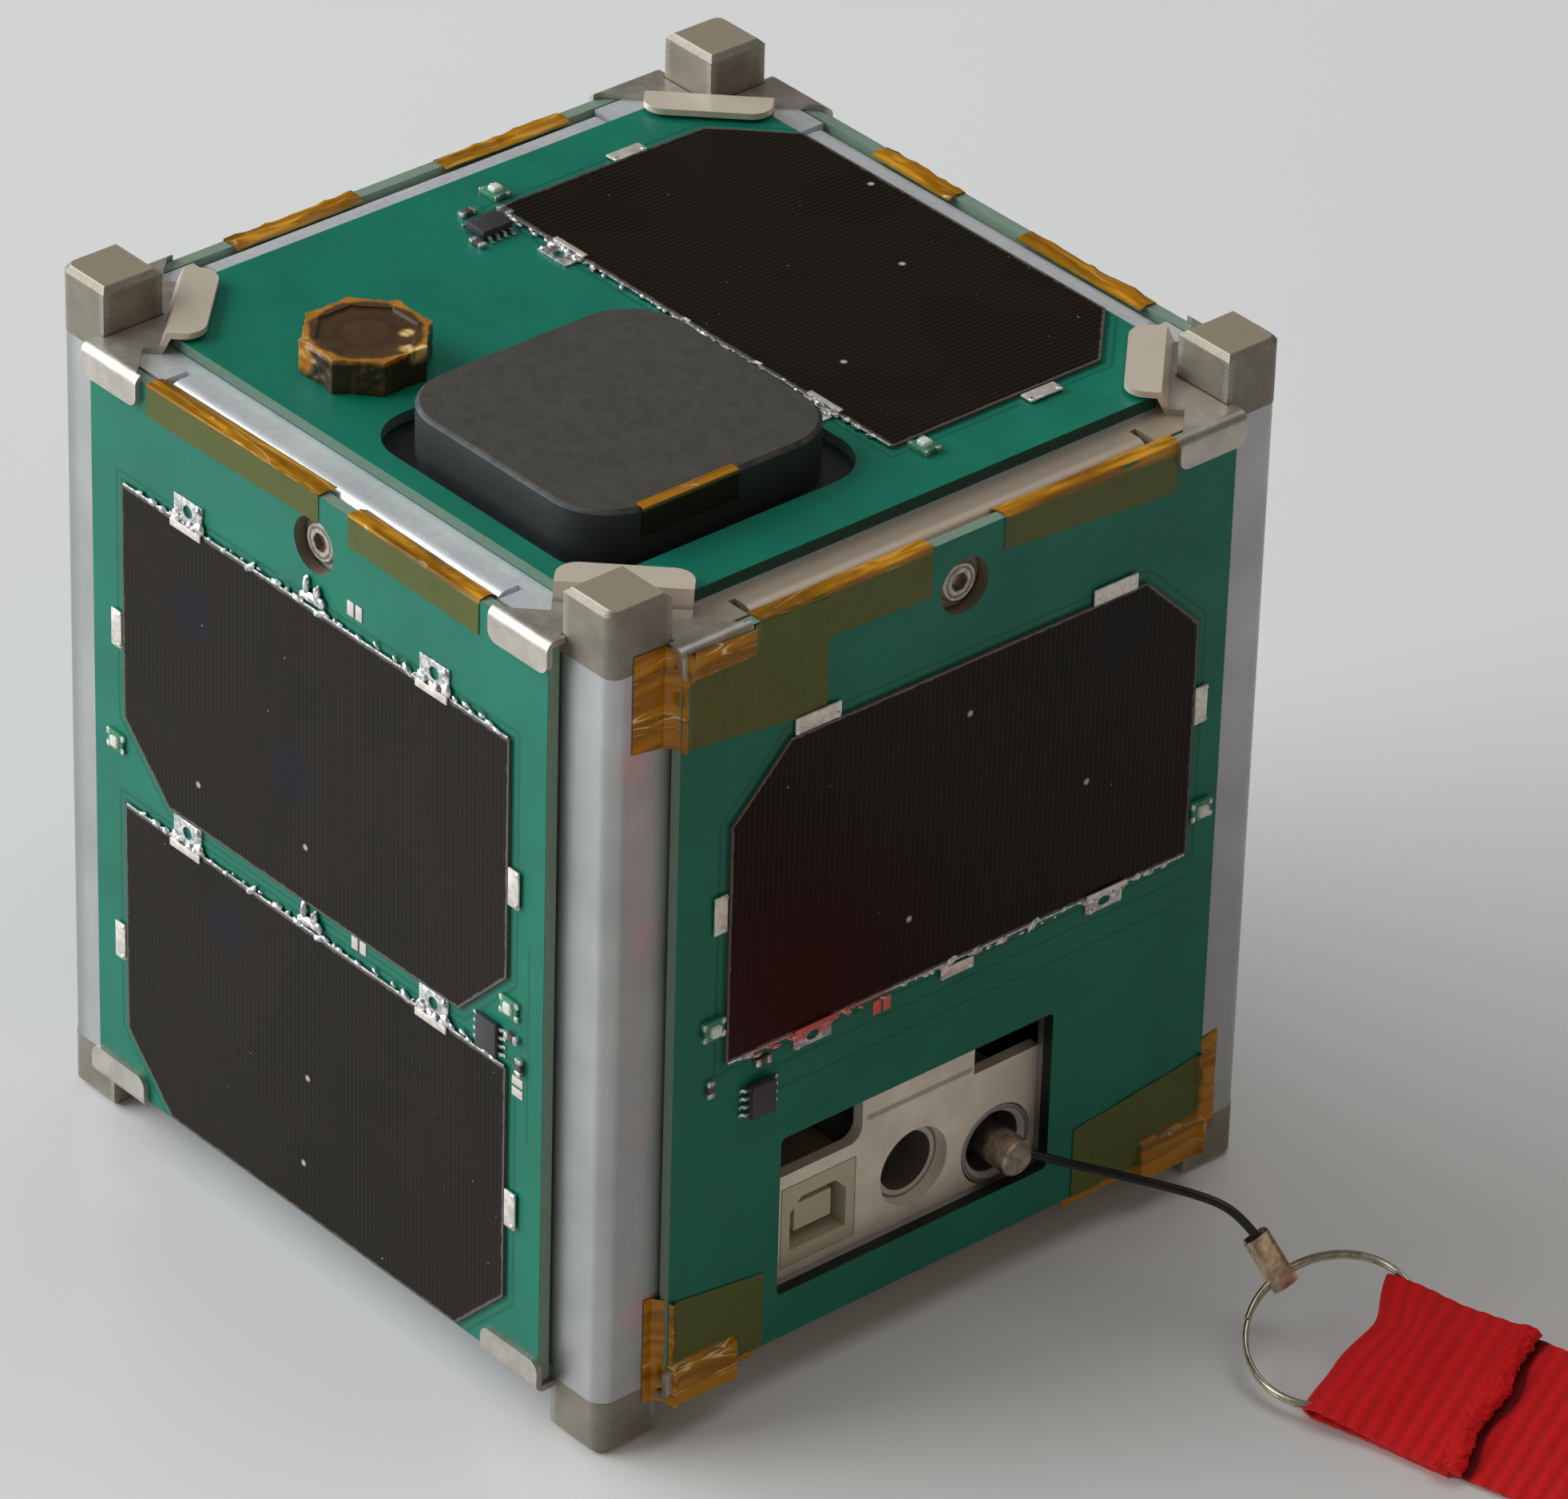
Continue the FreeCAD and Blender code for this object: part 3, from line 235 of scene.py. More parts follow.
class LanyardSettings(bpy.types.PropertyGroup):
    """Cord, clamp, ring and strap of the pull pin."""

    cord_diameter: in_mm("Cord diameter", "Diameter of the black cord", 1.1)
    cord_length: in_mm("Cord length", "Length of the cord from the pin to the clamp", 32.06)
    ring_radius: in_mm("Ring radius", "Radius of the split ring, at the middle of its wire", 10.5)
    ring_wire: in_mm("Ring wire", "Diameter of the ring's wire", 0.70)
    strap_wide: in_mm("Strap width", "Width of the red strap", 20.0)
    strap_thick: in_mm("Strap thickness", "Thickness of the webbing between its ribs", 0.5)
    rib_pitch: in_mm("Rib pitch", "Distance between the ribs of the webbing", 2.2)
    strap_red: in_colour("Strap red", "Colour of the webbing", 240, 28, 33)


def select_only(*objects):
    """Selects these objects and makes the first one active."""
    bpy.ops.object.select_all(action="DESELECT")
    for item in objects:
        item.select_set(True)
    bpy.context.view_layer.objects.active = objects[0]


@contextmanager
def editing(obj):
    """Opens a piece in edit mode with all of it selected, and leaves edit mode at the end."""
    select_only(obj)
    bpy.ops.object.mode_set(mode="EDIT")
    bpy.ops.mesh.select_all(action="SELECT")
    yield
    bpy.ops.object.mode_set(mode="OBJECT")


def pick(obj, kind, test):
    """In edit mode, selects only the edges or faces whose middle passes the test."""
    bpy.ops.mesh.select_all(action="DESELECT")
    bpy.ops.mesh.select_mode(type=kind)
    mesh = bmesh.from_edit_mesh(obj.data)
    if kind == "EDGE":
        chosen = [e for e in mesh.edges if test((e.verts[0].co + e.verts[1].co) / 2)]
    else:
        chosen = [face for face in mesh.faces if test(face.calc_center_median())]
    for item in chosen:
        item.select_set(True)
    bmesh.update_edit_mesh(obj.data)
    if not chosen:
        raise RuntimeError(f"{obj.name}: nothing to pick")


def extrude(x, y, z):
    """In edit mode, extrudes what is selected by a shift in millimetres.

    The operator numbers its new faces anew in each run, so they are put in order here.
    """
    shift = (x * MM, y * MM, z * MM)
    bpy.ops.mesh.extrude_region_move(TRANSFORM_OT_translate={"value": shift})
    data = bpy.context.object.data
    mesh = bmesh.from_edit_mesh(data)
    mesh.faces.sort(key=lambda face: face.calc_center_median().dot(ORDER_WAY))
    bmesh.update_edit_mesh(data)


def place_in_mesh():
    """Moves the selected objects' place, turn and scale into their meshes."""
    bpy.ops.object.transform_apply(location=True, rotation=True, scale=True)


def primitive(name, kind, **settings):
    """A new plain mesh, made by Blender's operator for its kind."""
    bpy.ops.object.select_all(action="DESELECT")
    getattr(bpy.ops.mesh, f"primitive_{kind}_add")(**settings)
    bpy.context.object.name = name
    return bpy.context.object


def block(middle, size, rounding=0.0, segments=2):
    """A block with softened edges, its middle and size in millimetres."""
    place, scale = Vector(middle) * MM, Vector(size) * MM
    piece = primitive("block", "cube", size=1, location=place, scale=scale)
    place_in_mesh()
    if rounding:
        with editing(piece):
            bpy.ops.mesh.bevel(offset=rounding * MM, segments=segments, affect="EDGES")
    return piece


def wire(name, places, radius, order, resolution, roundness):
    """A curve with a round section through these places, all in metres."""
    curve = bpy.data.curves.new(name, "CURVE")
    curve.dimensions = "3D"
    spline = curve.splines.new("NURBS")
    spline.points.add(len(places) - 1)
    for point, place in zip(spline.points, places):
        point.co = (*place, 1.0)
    spline.order_u = order
    spline.use_endpoint_u = True
    curve.resolution_u = resolution
    curve.bevel_depth = radius
    curve.bevel_resolution = roundness
    curve.use_fill_caps = True
    item = bpy.data.objects.new(name, curve)
    bpy.context.collection.objects.link(item)
    return item


def as_mesh(curve):
    """A curve turned into a mesh."""
    select_only(curve)
    bpy.ops.object.convert(target="MESH")
    return bpy.context.object


def put_on(piece, kind, **settings):
    """Adds a modifier with these settings and applies it."""
    select_only(piece)
    modifier = piece.modifiers.new("shape", kind)
    for name, setting in settings.items():
        setattr(modifier, name, setting)
    bpy.ops.object.modifier_apply(modifier=modifier.name)


def joined(name, pieces):
    """One piece from several, its place in its mesh."""
    select_only(*pieces)
    if len(pieces) > 1:
        bpy.ops.object.join()
    whole = bpy.context.object
    whole.name = name
    whole.data.name = name
    place_in_mesh()
    return whole


def copy_of(model, place):
    """A copy of a model with its own mesh, put at a place given as a matrix."""
    select_only(model)
    bpy.ops.object.duplicate()
    bpy.context.object.matrix_world = place
    return bpy.context.object


def discard(*models):
    """Removes models whose copies are in place."""
    select_only(*models)
    bpy.ops.object.delete()


def face_out(piece, merge=True):
    """Points all faces outwards, with points at the same place merged first."""
    with editing(piece):
        if merge:
            bpy.ops.mesh.remove_doubles(threshold=1e-6)
            bpy.ops.mesh.select_all(action="SELECT")
        bpy.ops.mesh.normals_make_consistent(inside=False)


def painted(piece, material):
    """Gives a piece this material alone."""
    piece.data.materials.clear()
    piece.data.materials.append(material)
    return piece


def finish_piece(piece, body, material=None, smooth=40.0):
    """Smooths, paints and mounts a piece on its body."""
    select_only(piece)
    bpy.ops.object.shade_smooth_by_angle(angle=math.radians(smooth))
    if material:
        painted(piece, material)
    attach(piece, body)


def dress(material, *nodes):
    """Puts a material on nodes of the frame."""
    for node in nodes:
        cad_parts[node].material_slots[0].material = material


def turned(degrees, axis, size=4):
    """A turn about an axis, as a matrix."""
    return Matrix.Rotation(math.radians(degrees), size, axis)


def shifted(x, y, z):
    """A shift in millimetres, as a matrix."""
    return Matrix.Translation(Vector((x, y, z)) * MM)


def on_face(face, across, up, turn=0.0, size=(1.0, 1.0, 1.0)):
    """The place of a model on a board: its own X looks out, Y goes across and Z up.

    The size multiplies the model outwards, across and up.
    """
    if face in SIDE_TURNS:
        base, out = turned(90 * SIDE_TURNS[face], "Z"), SIDE_FACE
    else:
        base, out = Matrix(((0, 1, 0, 0), (0, 0, 1, 0), (1, 0, 0, 0), (0, 0, 0, 1))), TOP_FACE
        if face == "bottom":
            base = shifted(0, 0, FRAME_HIGH) @ turned(180, "X") @ base
    return base @ shifted(out, across, up) @ turned(turn, "X") @ Matrix.Diagonal((*size, 1))


def populate(prefix, models, table):
    """Puts copies of the models on each face, and joins those of a face into one piece.

    The table gives, for each face, rows of a model's name and what on_face takes.
    """
    for face, rows in table.items():
        copies = [copy_of(models[model], on_face(face, *place)) for model, *place in rows]
        finish_piece(joined(f"{prefix}_{face}", copies), "satellite")
    discard(*models.values())


def smooth_step(value, low, high):
    """0 below low, 1 above high and smooth between."""
    share = min(max((value - low) / (high - low), 0.0), 1.0)
    return share * share * (3 - 2 * share)


def ripple(x, y, z, scale):
    """Smooth noise from -1 to 1 at a place in millimetres."""
    return noise.noise(Vector((x, y, z)) / scale)


class Field:
    """A value that varies over a surface, with the sums that shaders can do on it."""

    def __init__(self, finish, socket):
        self.finish = finish
        self.socket = socket

    def maths(self, operation, *terms):
        node = self.finish.add("ShaderNodeMath", operation=operation)
        for socket, term in zip(node.inputs, (self, *terms)):
            self.finish.link(term, socket)
        return Field(self.finish, node.outputs[0])

    def __add__(self, other):
        return self.maths("ADD", other)

    def __sub__(self, other):
        return self.maths("SUBTRACT", other)

    def __mul__(self, other):
        return self.maths("MULTIPLY", other)

    def __truediv__(self, other):
        return self.maths("DIVIDE", other)

    def __abs__(self):
        return self.maths("ABSOLUTE")

    def most(self, *others):
        """The largest of this and the others."""
        top = self
        for other in others:
            top = top.maths("MAXIMUM", other)
        return top

    def least(self, *others):
        """The smallest of this and the others."""
        low = self
        for other in others:
            low = low.maths("MINIMUM", other)
        return low

    def off(self, centre):
        """How far the value is from a centre."""
        return abs(self - centre)

    def hypot(self, other):
        """The distance made of this length and one at right angles to it."""
        return (self * self + other * other).maths("SQRT")

    def ramp(self, low, high):
        """0 at low, 1 at high and smooth between, also where high is the lower one."""
        node = self.finish.add("ShaderNodeMapRange", interpolation_type="SMOOTHSTEP")
        for socket, term in zip(node.inputs, (self, low, high, 0.0, 1.0)):
            self.finish.link(term, socket)
        return Field(self.finish, node.outputs[0])


class Finish:
    """The nodes of one material. Lengths in its patterns are in millimetres."""

    def __init__(self, name, **sockets):
        self.material = bpy.data.materials.new(name)
        self.material.use_nodes = True
        self.tree = self.material.node_tree
        self.shader = next(n for n in self.tree.nodes if n.type == "BSDF_PRINCIPLED")
        for socket, setting in sockets.items():
            self.put(socket, setting)
        source = self.add("ShaderNodeTexCoord")
        scale = self.add("ShaderNodeMapping")
        scale.inputs["Scale"].default_value = (1 / MM, 1 / MM, 1 / MM)
        self.link(source.outputs["Object"], scale.inputs["Vector"])
        self.place = scale.outputs["Vector"]
        self.x, self.y, self.z = self.split(self.place)

    def add(self, kind, **settings):
        """A new node with these settings."""
        node = self.tree.nodes.new(kind)
        for name, setting in settings.items():
            setattr(node, name, setting)
        return node

    def link(self, source, target):
        """Wires a socket, or sets a plain value on it, a plain colour with full cover."""
        if isinstance(source, Field):
            source = source.socket
        if isinstance(source, bpy.types.NodeSocket):
            self.tree.links.new(source, target)
        elif target.type == "RGBA":
            target.default_value = (*source, 1.0)
        else:
            target.default_value = source

    def put(self, socket, source):
        """Wires or sets a socket of the shader."""
        self.link(source, self.shader.inputs[socket.replace("_", " ")])

    def split(self, vector):
        """The three lengths of a vector."""
        node = self.add("ShaderNodeSeparateXYZ")
        self.link(vector, node.inputs[0])
        return [Field(self, output) for output in node.outputs]

    def stretched(self, x, y, z, where=None):
        """The place, or another vector, with its three lengths multiplied."""
        node = self.add("ShaderNodeVectorMath", operation="MULTIPLY")
        self.link(where or self.place, node.inputs[0])
        node.inputs[1].default_value = (x, y, z)
        return node.outputs[0]

    def noise(self, scale, where=None, detail=3.0, roughness=0.55, distortion=0.0):
        """Cloudy noise about 0.5."""
        node = self.add("ShaderNodeTexNoise")
        self.link(where or self.place, node.inputs["Vector"])
        node.inputs["Scale"].default_value = scale
        node.inputs["Detail"].default_value = detail
        node.inputs["Roughness"].default_value = roughness
        node.inputs["Distortion"].default_value = distortion
        return Field(self, node.outputs[0])

    def near(self, radius, *places):
        """1 at these places in millimetres, fading to 0 at a radius."""
        spots = []
        for place in places:
            node = self.add("ShaderNodeVectorMath", operation="DISTANCE")
            self.link(self.place, node.inputs[0])
            node.inputs[1].default_value = place
            spots.append(Field(self, node.outputs["Value"]).ramp(radius, radius * 0.3))
        return spots[0].most(*spots[1:])

    def blend(self, share, one, other):
        """One colour that goes over to another as the share goes from 0 to 1."""
        node = self.add("ShaderNodeMix", data_type="RGBA")
        for number, source in ((0, share), (6, one), (7, other)):
            self.link(source, node.inputs[number])
        return Field(self, node.outputs[2])

    def done(self, colour, rough, bump):
        """Wires the colour, roughness and bump, and gives the material.

        rough is a pattern with the roughness at its 0 and 1, and bump a pattern with its strength
        and its height in millimetres.
        """
        self.put("Base Color", colour)
        pattern, low, high = rough
        self.put("Roughness", pattern.maths("MULTIPLY_ADD", high - low, low))
        height, strength, distance = bump
        node = self.add("ShaderNodeBump")
        self.link(height, node.inputs["Height"])
        node.inputs["Strength"].default_value = strength
        node.inputs["Distance"].default_value = distance * MM
        self.put("Normal", node.outputs["Normal"])
        return self.material


def brushed_rail():
    """Satin sheet, brushed up and down, with pale smears and a few pinkish smudges."""
    mat = Finish("rail_brushed", Metallic=0.85)
    streaks = mat.noise(1.0, mat.stretched(7.0, 7.0, 0.05), roughness=0.6)
    cloud = mat.noise(0.09, detail=2.0)
    fine = mat.noise(5.0, detail=2.0)
    tone = cloud * 0.7 + streaks * 0.3
    base = mat.blend(tone.ramp(0.3, 0.8), paint(168, 169, 169), paint(188, 189, 189))
    base = mat.blend(mat.x.ramp(-46.0, -49.0), base, paint(148, 150, 151))
    smudges = mat.near(3.4, (50.0, -44.2, 69.3)).most(
        mat.near(3.2, (50.0, -44.4, 43.4)),
        mat.near(3.6, (50.0, -44.2, 18.5)),
        mat.near(4.0, (50.0, -46.0, 93.0)),
    )
    base = mat.blend(smudges * cloud.ramp(0.2, 0.7) * 0.55, base, paint(206, 160, 160))
    return mat.done(base, (fine * 0.4 + streaks, 0.36, 0.46), (fine, 0.06, 0.01))


def plate_satin():
    """Bare sheet with crossing fine scratches, painted warm light along its +X edge, and painted
    shade where the antenna stands in its cut-out.
    """
    mat = Finish("plate_satin")
    one = mat.noise(1.0, mat.stretched(7.0, 0.5, 0.5), roughness=0.7)
    other = mat.noise(1.0, mat.stretched(0.6, 6.0, 6.0), roughness=0.7)
    lines = one.most(other) * 0.8
    tone = mat.noise(0.12) * 0.4 + lines
    base = mat.blend(tone.ramp(0.35, 0.85), paint(216, 220, 226), paint(250, 252, 255))
    # Painted warm light on the strip along the +X edge.
    base = mat.blend(mat.x.ramp(44.0, 45.5) * 0.8, base, paint(184, 160, 130))
    # Painted shade: near black and less metallic round the antenna, where the cut-out goes through.
    under = mat.x.off(15.3).ramp(22.6, 22.2) * mat.y.off(-20.3).ramp(22.6, 22.2)
    under = under * mat.z.ramp(106.5, 106.55)
    mat.put("Metallic", under * -0.6 + 0.6)
    base = mat.blend(under, base, paint(16, 22, 20))
    return mat.done(base, (tone, 0.26, 0.44), (lines, 0.2, 0.015))


def foot_coating():
    """Hard, warm grey coating, bright along the edges, partly rubbed there and partly a painted
    highlight, with painted light on its top faces.
    """
    mat = Finish("foot_coating", Metallic=0.45)
    near_x, near_y = [
        abs(axis).off(RAIL_FACE).least(abs(axis).off(RAIL_START)) for axis in (mat.x, mat.y)
    ]
    near_z = mat.z.off(FRAME_HIGH).least(mat.z.off(0.0))
    edge = (near_x + near_y).least(near_x + near_z, near_y + near_z)
    speck = mat.noise(3.2, detail=4.0, roughness=0.7)
    tone = mat.noise(0.25, detail=2.0) * 0.6 + speck * 0.5
    base = mat.blend(tone.ramp(0.3, 0.8), paint(118, 112, 100), paint(146, 140, 126))
    # Painted light: the top faces of the upper feet are painted lighter, as lit from above.
    base = mat.blend(mat.z.ramp(113.35, 113.45), base, paint(168, 154, 134))
    # Bright edges: partly real rubbing, partly a painted highlight of the light on them.
    wear_and_edge_highlight = edge.ramp(1.15, 0.35) * speck.ramp(0.3, 0.6)
    base = mat.blend(wear_and_edge_highlight * 0.5, base, paint(184, 180, 168))
    return mat.done(base, (speck, 0.40, 0.62), (speck, 0.25, 0.02))


def clip_sheet():
    """Bare bent sheet, brushed across, its raised pads warmer and duller."""
    mat = Finish("clip_sheet")
    lines = mat.noise(1.0, mat.stretched(1.2, 1.2, 9.0), roughness=0.7)
    tone = mat.noise(0.3, detail=2.0) * 0.6 + lines * 0.5
    base = mat.blend(tone.ramp(0.3, 0.8), paint(166, 160, 151), paint(200, 195, 186))
    pad = mat.z.ramp(107.2, 108.2)
    mat.put("Metallic", pad * -0.45 + 0.8)
    base = mat.blend(pad, base, paint(226, 212, 194))
    return mat.done(base, (tone, 0.26, 0.46), (lines, 0.2, 0.015))


def turned_steel(name, dark, light, *rough):
    """Polished steel with faint rings and a little grime."""
    mat = Finish(name, Metallic=0.95)
    rings = mat.noise(1.0, mat.stretched(6.0, 0.8, 0.8), detail=2.0)
    tone = mat.noise(0.7) * 0.6 + rings * 0.5
    base = mat.blend(tone.ramp(0.3, 0.8), dark, light)
    return mat.done(base, (tone, *rough), (rings, 0.15, 0.01))


def screw_steel():
    """Plain steel, with painted shade round and in the recess of each head."""
    mat = Finish("screw_plain_steel", Metallic=0.7)
    radius = mat.z.off(HOLE_UP).hypot(abs(mat.x).least(abs(mat.y)))
    grime = mat.noise(1.4)
    base = mat.blend(grime.ramp(0.3, 0.7), paint(150, 144, 134), paint(196, 190, 180))
    # Painted shade: a dark ring round the recess and a darker warm middle.
    base = mat.blend(radius.off(1.85).ramp(0.24, 0.10) * 0.75, base, paint(84, 76, 66))
    base = mat.blend(radius.ramp(1.30, 1.10), base, paint(150, 136, 118))
    return mat.done(base, (grime, 0.22, 0.42), (grime, 0.15, 0.02))


def face_axes(mat, face):
    """The lengths across and up a face, and outwards from it."""
    if face == "top":
        return mat.x, mat.y, mat.z
    if face == "bottom":
        return mat.x, mat.y * -1.0, mat.z * -1.0 + FRAME_HIGH
    if face.startswith("x"):
        return mat.y, mat.z, abs(mat.x)
    return mat.x, mat.z, abs(mat.y)


def cell_gap(face, across, up):
    """Distance in millimetres from the outline of the nearest cell, negative inside it."""
    gaps = []
    for centre, low, high, cut_low in CELL_ROWS[face]:
        middle, half = (low + high) / 2, (high - low) / 2
        side, end = across.off(centre) - CELL_HALF, up.off(middle) - half
        slope = (up - middle) * (-1.0 if cut_low else 1.0)
        corner = across.off(centre) + slope - (CELL_HALF + half - CELL_CUT)
        gaps.append(side.most(end, corner * math.sqrt(0.5)))
    return gaps[0].least(*gaps[1:])


def board_mask(face, green):
    """Green solder mask with traces round the cells, and a paler glass fibre edge."""
    mat = Finish(f"board_{face}", Specular_IOR_Level=0.3)
    across, up, out = face_axes(mat, face)
    is_side, has_window = face in SIDE_TURNS, face == "x_plus"
    # On the window's side the green is painted darker: painted shade of that side.
    if has_window:
        green = shaded(green, 0.82)
    fine = mat.noise(2.4)
    gap = cell_gap(face, across, up)
    base = mat.blend(mat.noise(0.10, detail=2.0).ramp(0.3, 0.7), green, shaded(green, 1.18))
    traces = [gap.off(0.25).ramp(0.5, 0.2)]
    if has_window:
        here = across.off(4.0).ramp(34.0, 33.0)
        traces += [up.off(level).ramp(0.26, 0.08) * here for level in (45.8, 42.4)]
    elif is_side:
        traces.append(across.off(38.9).ramp(0.24, 0.08) * up.off(52.0).ramp(14.0, 13.0))
    dark = gap.off(1.35).ramp(0.32, 0.10).most(*traces) * 0.75
    base = mat.blend(dark, base, shaded(green, 0.62))
    dust = mat.noise(6.0, detail=1.0).ramp(0.74, 0.80)
    base = mat.blend(dust * 0.25, base, paint(150, 190, 175))
    if is_side:
        fibre = mat.blend(fine, paint(104, 130, 114), paint(144, 162, 146))
        in_hole = across.hypot(up - HOLE_UP).ramp(3.72, 3.62)
        fibre = mat.blend(in_hole, fibre, paint(120, 104, 84))
    else:
        fibre = mat.blend(fine, paint(76, 110, 92), paint(108, 134, 116))
        # Painted shade: the edge facing +X is painted dark green.
        fibre = mat.blend(mat.x.ramp(43.9, 44.2), fibre, paint(30, 70, 56))
        # Painted shadow: a dark teal line at the foot of the top board's edge, in the gap above the
        # plate.
        fibre = mat.blend(out.ramp(106.85, 106.70), fibre, paint(38, 78, 78))
    if has_window:
        # Painted shade on the walls of the window.
        in_window = across.off(-4.0).ramp(22.0, 21.5) * up.off(24.0).ramp(12.0, 11.5)
        fibre = mat.blend(in_window, fibre, paint(22, 32, 26))
    level = SIDE_FACE if is_side else TOP_FACE
    edge = out.ramp(level - 0.04, level - 0.12)
    base = mat.blend(edge, base, fibre)
    return mat.done(base, (edge * 0.5 + fine, 0.34, 0.56), (dark * 1.2 + fine, 0.12, 0.04))


def cell_glass(face, brown, pitch):
    """Dark cell with fine grid lines, a thin silver rim, faint bluish spots, a painted red
    reflection of the strap on the window's side, and dust.
    """
    mat = Finish(f"cell_{face}", Specular_IOR_Level=0.09)
    across, up, _ = face_axes(mat, face)
    grain = mat.noise(3.0, roughness=0.7)
    lines = (across / pitch).maths("FRACT").off(0.5).ramp(0.26, 0.10)
    base = mat.blend(mat.noise(0.06, detail=2.0).ramp(0.35, 0.7), brown, shaded(brown, 0.7))
    base = mat.blend(lines * 0.30, base, paint(58, 48, 38))
    if face == "x_plus":
        # Painted red reflection of the strap, in the lower left of the window's cell.
        red = across.ramp(2.0, -26.0) * up.ramp(78.0, 54.0)
        base = mat.blend(red * 0.75, base, paint(50, 10, 12))
    for place in BLUE_SPOTS.get(face, []):
        spot = mat.near(5.5, place) * 0.5 * grain.ramp(0.3, 0.6)
        base = mat.blend(spot, base, paint(20, 22, 50))
    specks = mat.noise(1.6, detail=1.0).ramp(0.80, 0.84)
    if face in SPECKS:
        specks = specks.most(mat.near(0.55, *SPECKS[face]))
    base = mat.blend(specks * 0.8, base, paint(205, 198, 188))
    ragged = mat.noise(1.1, detail=2.0) * 0.5 - 0.25
    rim = (cell_gap(face, across, up) + ragged).ramp(-0.42, -0.22)
    base = mat.blend(rim * 0.4, base, paint(150, 146, 138))
    mat.put("Metallic", rim * 0.4)
    height = lines * 0.5 + grain * 0.2
    return mat.done(base, (rim * 0.5 + grain, 0.20, 0.42), (height, 0.12, 0.02))


def antenna_cover():
    """Matt mottled top, darker and smoother sides, and a painted pale highlight round the top edge.
    """
    mat = Finish("antenna_cover")
    mottle = mat.noise(0.5, detail=5.0, roughness=0.65)
    fine = mat.noise(4.0, roughness=0.7)
    grey = fine * 0.5 + mottle * 0.6
    top = mat.blend(grey.ramp(0.3, 0.8), paint(50, 48, 42), paint(72, 69, 62))
    side = mat.blend(mottle, paint(25, 29, 30), paint(42, 47, 48))
    is_top = mat.z.ramp(113.0, 113.3)
    # Painted highlight along the top edge, a faint bluish sheen.
    wear_and_edge_highlight = mat.z.off(113.1).ramp(0.32, 0.12) * mottle.ramp(0.35, 0.65)
    base = mat.blend(wear_and_edge_highlight * 0.3, mat.blend(is_top, side, top), paint(96, 104, 110))
    return mat.done(base, (is_top * 0.7 + fine * 0.3, 0.50, 0.85), (fine, 0.35, 0.03))


def port_sheet():
    """Warm grey plate with a faint grain and painted shade along the bend at the foot of its tab.
    """
    mat = Finish("port_plate_grey", Metallic=0.15)
    fine = mat.noise(4.0, roughness=0.7)
    tone = fine * 0.4 + mat.noise(0.2, detail=2.0)
    base = mat.blend(tone.ramp(0.5, 1.0), paint(230, 219, 206), paint(250, 240, 227))
    # Painted shade along the bend.
    bend = mat.z.off(29.0).ramp(0.55, 0.2) * mat.y.off(-0.4).ramp(8.4, 7.9)
    base = mat.blend(bend * 0.55, base, paint(104, 112, 124))
    return mat.done(base, (fine, 0.38, 0.55), (bend * -2.0 + fine, 0.25, 0.03))


def cream_plastic():
    """Cream moulding, shaded in its mouth."""
    mat = Finish("port_cream", Subsurface_Weight=0.05)
    grain = mat.noise(3.0)
    base = mat.blend(grain, paint(186, 178, 152), paint(214, 208, 184))
    base = mat.blend(mat.x.ramp(47.6, 42.0) * 0.7, base, paint(60, 52, 40))
    return mat.done(base, (grain, 0.42, 0.60), (grain, 0.15, 0.02))


def ringed_plastic(name, y, z, mouth, rim):
    """Black moulding with a paler collar round its mouth and painted shade in the collar's groove.
    """
    mat = Finish(name)
    radius = mat.y.off(y).hypot(mat.z.off(z))
    grain = mat.noise(3.0)
    black = mat.blend(grain, paint(8, 9, 8), paint(16, 16, 15))
    # Painted shade in the groove of the collar.
    groove = radius.off(mouth + 0.85).ramp(0.28, 0.1)
    collar = mat.blend(grain, rim, shaded(rim, 1.25))
    collar = mat.blend(groove * 0.7, collar, paint(60, 58, 56))
    base = mat.blend(radius.ramp(mouth - 0.05, mouth + 0.1), black, collar)
    return mat.done(base, (grain, 0.34, 0.52), (groove * -2.0 + grain, 0.2, 0.04))


def stack_finish():
    """Dark stack of boards, banded by its layers."""
    mat = Finish("stack_layers")
    band = (mat.z / 15.0).maths("FRACT").off(0.5).ramp(0.06, 0.03)
    grain = mat.noise(0.8)
    base = mat.blend(grain, paint(18, 20, 19), paint(34, 38, 35))
    base = mat.blend(band, base, paint(20, 62, 48))
    return mat.done(base, (grain, 0.5, 0.7), (band * 2.0 + grain, 0.3, 0.1))


def painted_strap_reflection(mat):
    """1 along the lower left edge of the window's cell, where a red reflection of the strap is
    painted on the solder and the foil.
    """
    along = mat.z.off(49.0).ramp(1.5, 0.9) * mat.y.off(-20.0).ramp(12.0, 8.0)
    return mat.x.ramp(51.5, 51.9) * along


def solder_silver():
    """Bright uneven solder with dull patches."""
    mat = Finish("solder_silver", Metallic=0.9)
    lumps = mat.noise(1.6, detail=4.0, roughness=0.6)
    fine = mat.noise(6.0, detail=2.0)
    base = mat.blend(lumps.ramp(0.35, 0.65), paint(160, 160, 162), paint(238, 238, 236))
    # Painted red reflection of the strap.
    base = mat.blend(painted_strap_reflection(mat) * 0.75, base, paint(206, 84, 78))
    return mat.done(base, (fine * 0.4 + lumps, 0.16, 0.42), (fine * 0.3 + lumps, 0.6, 0.12))


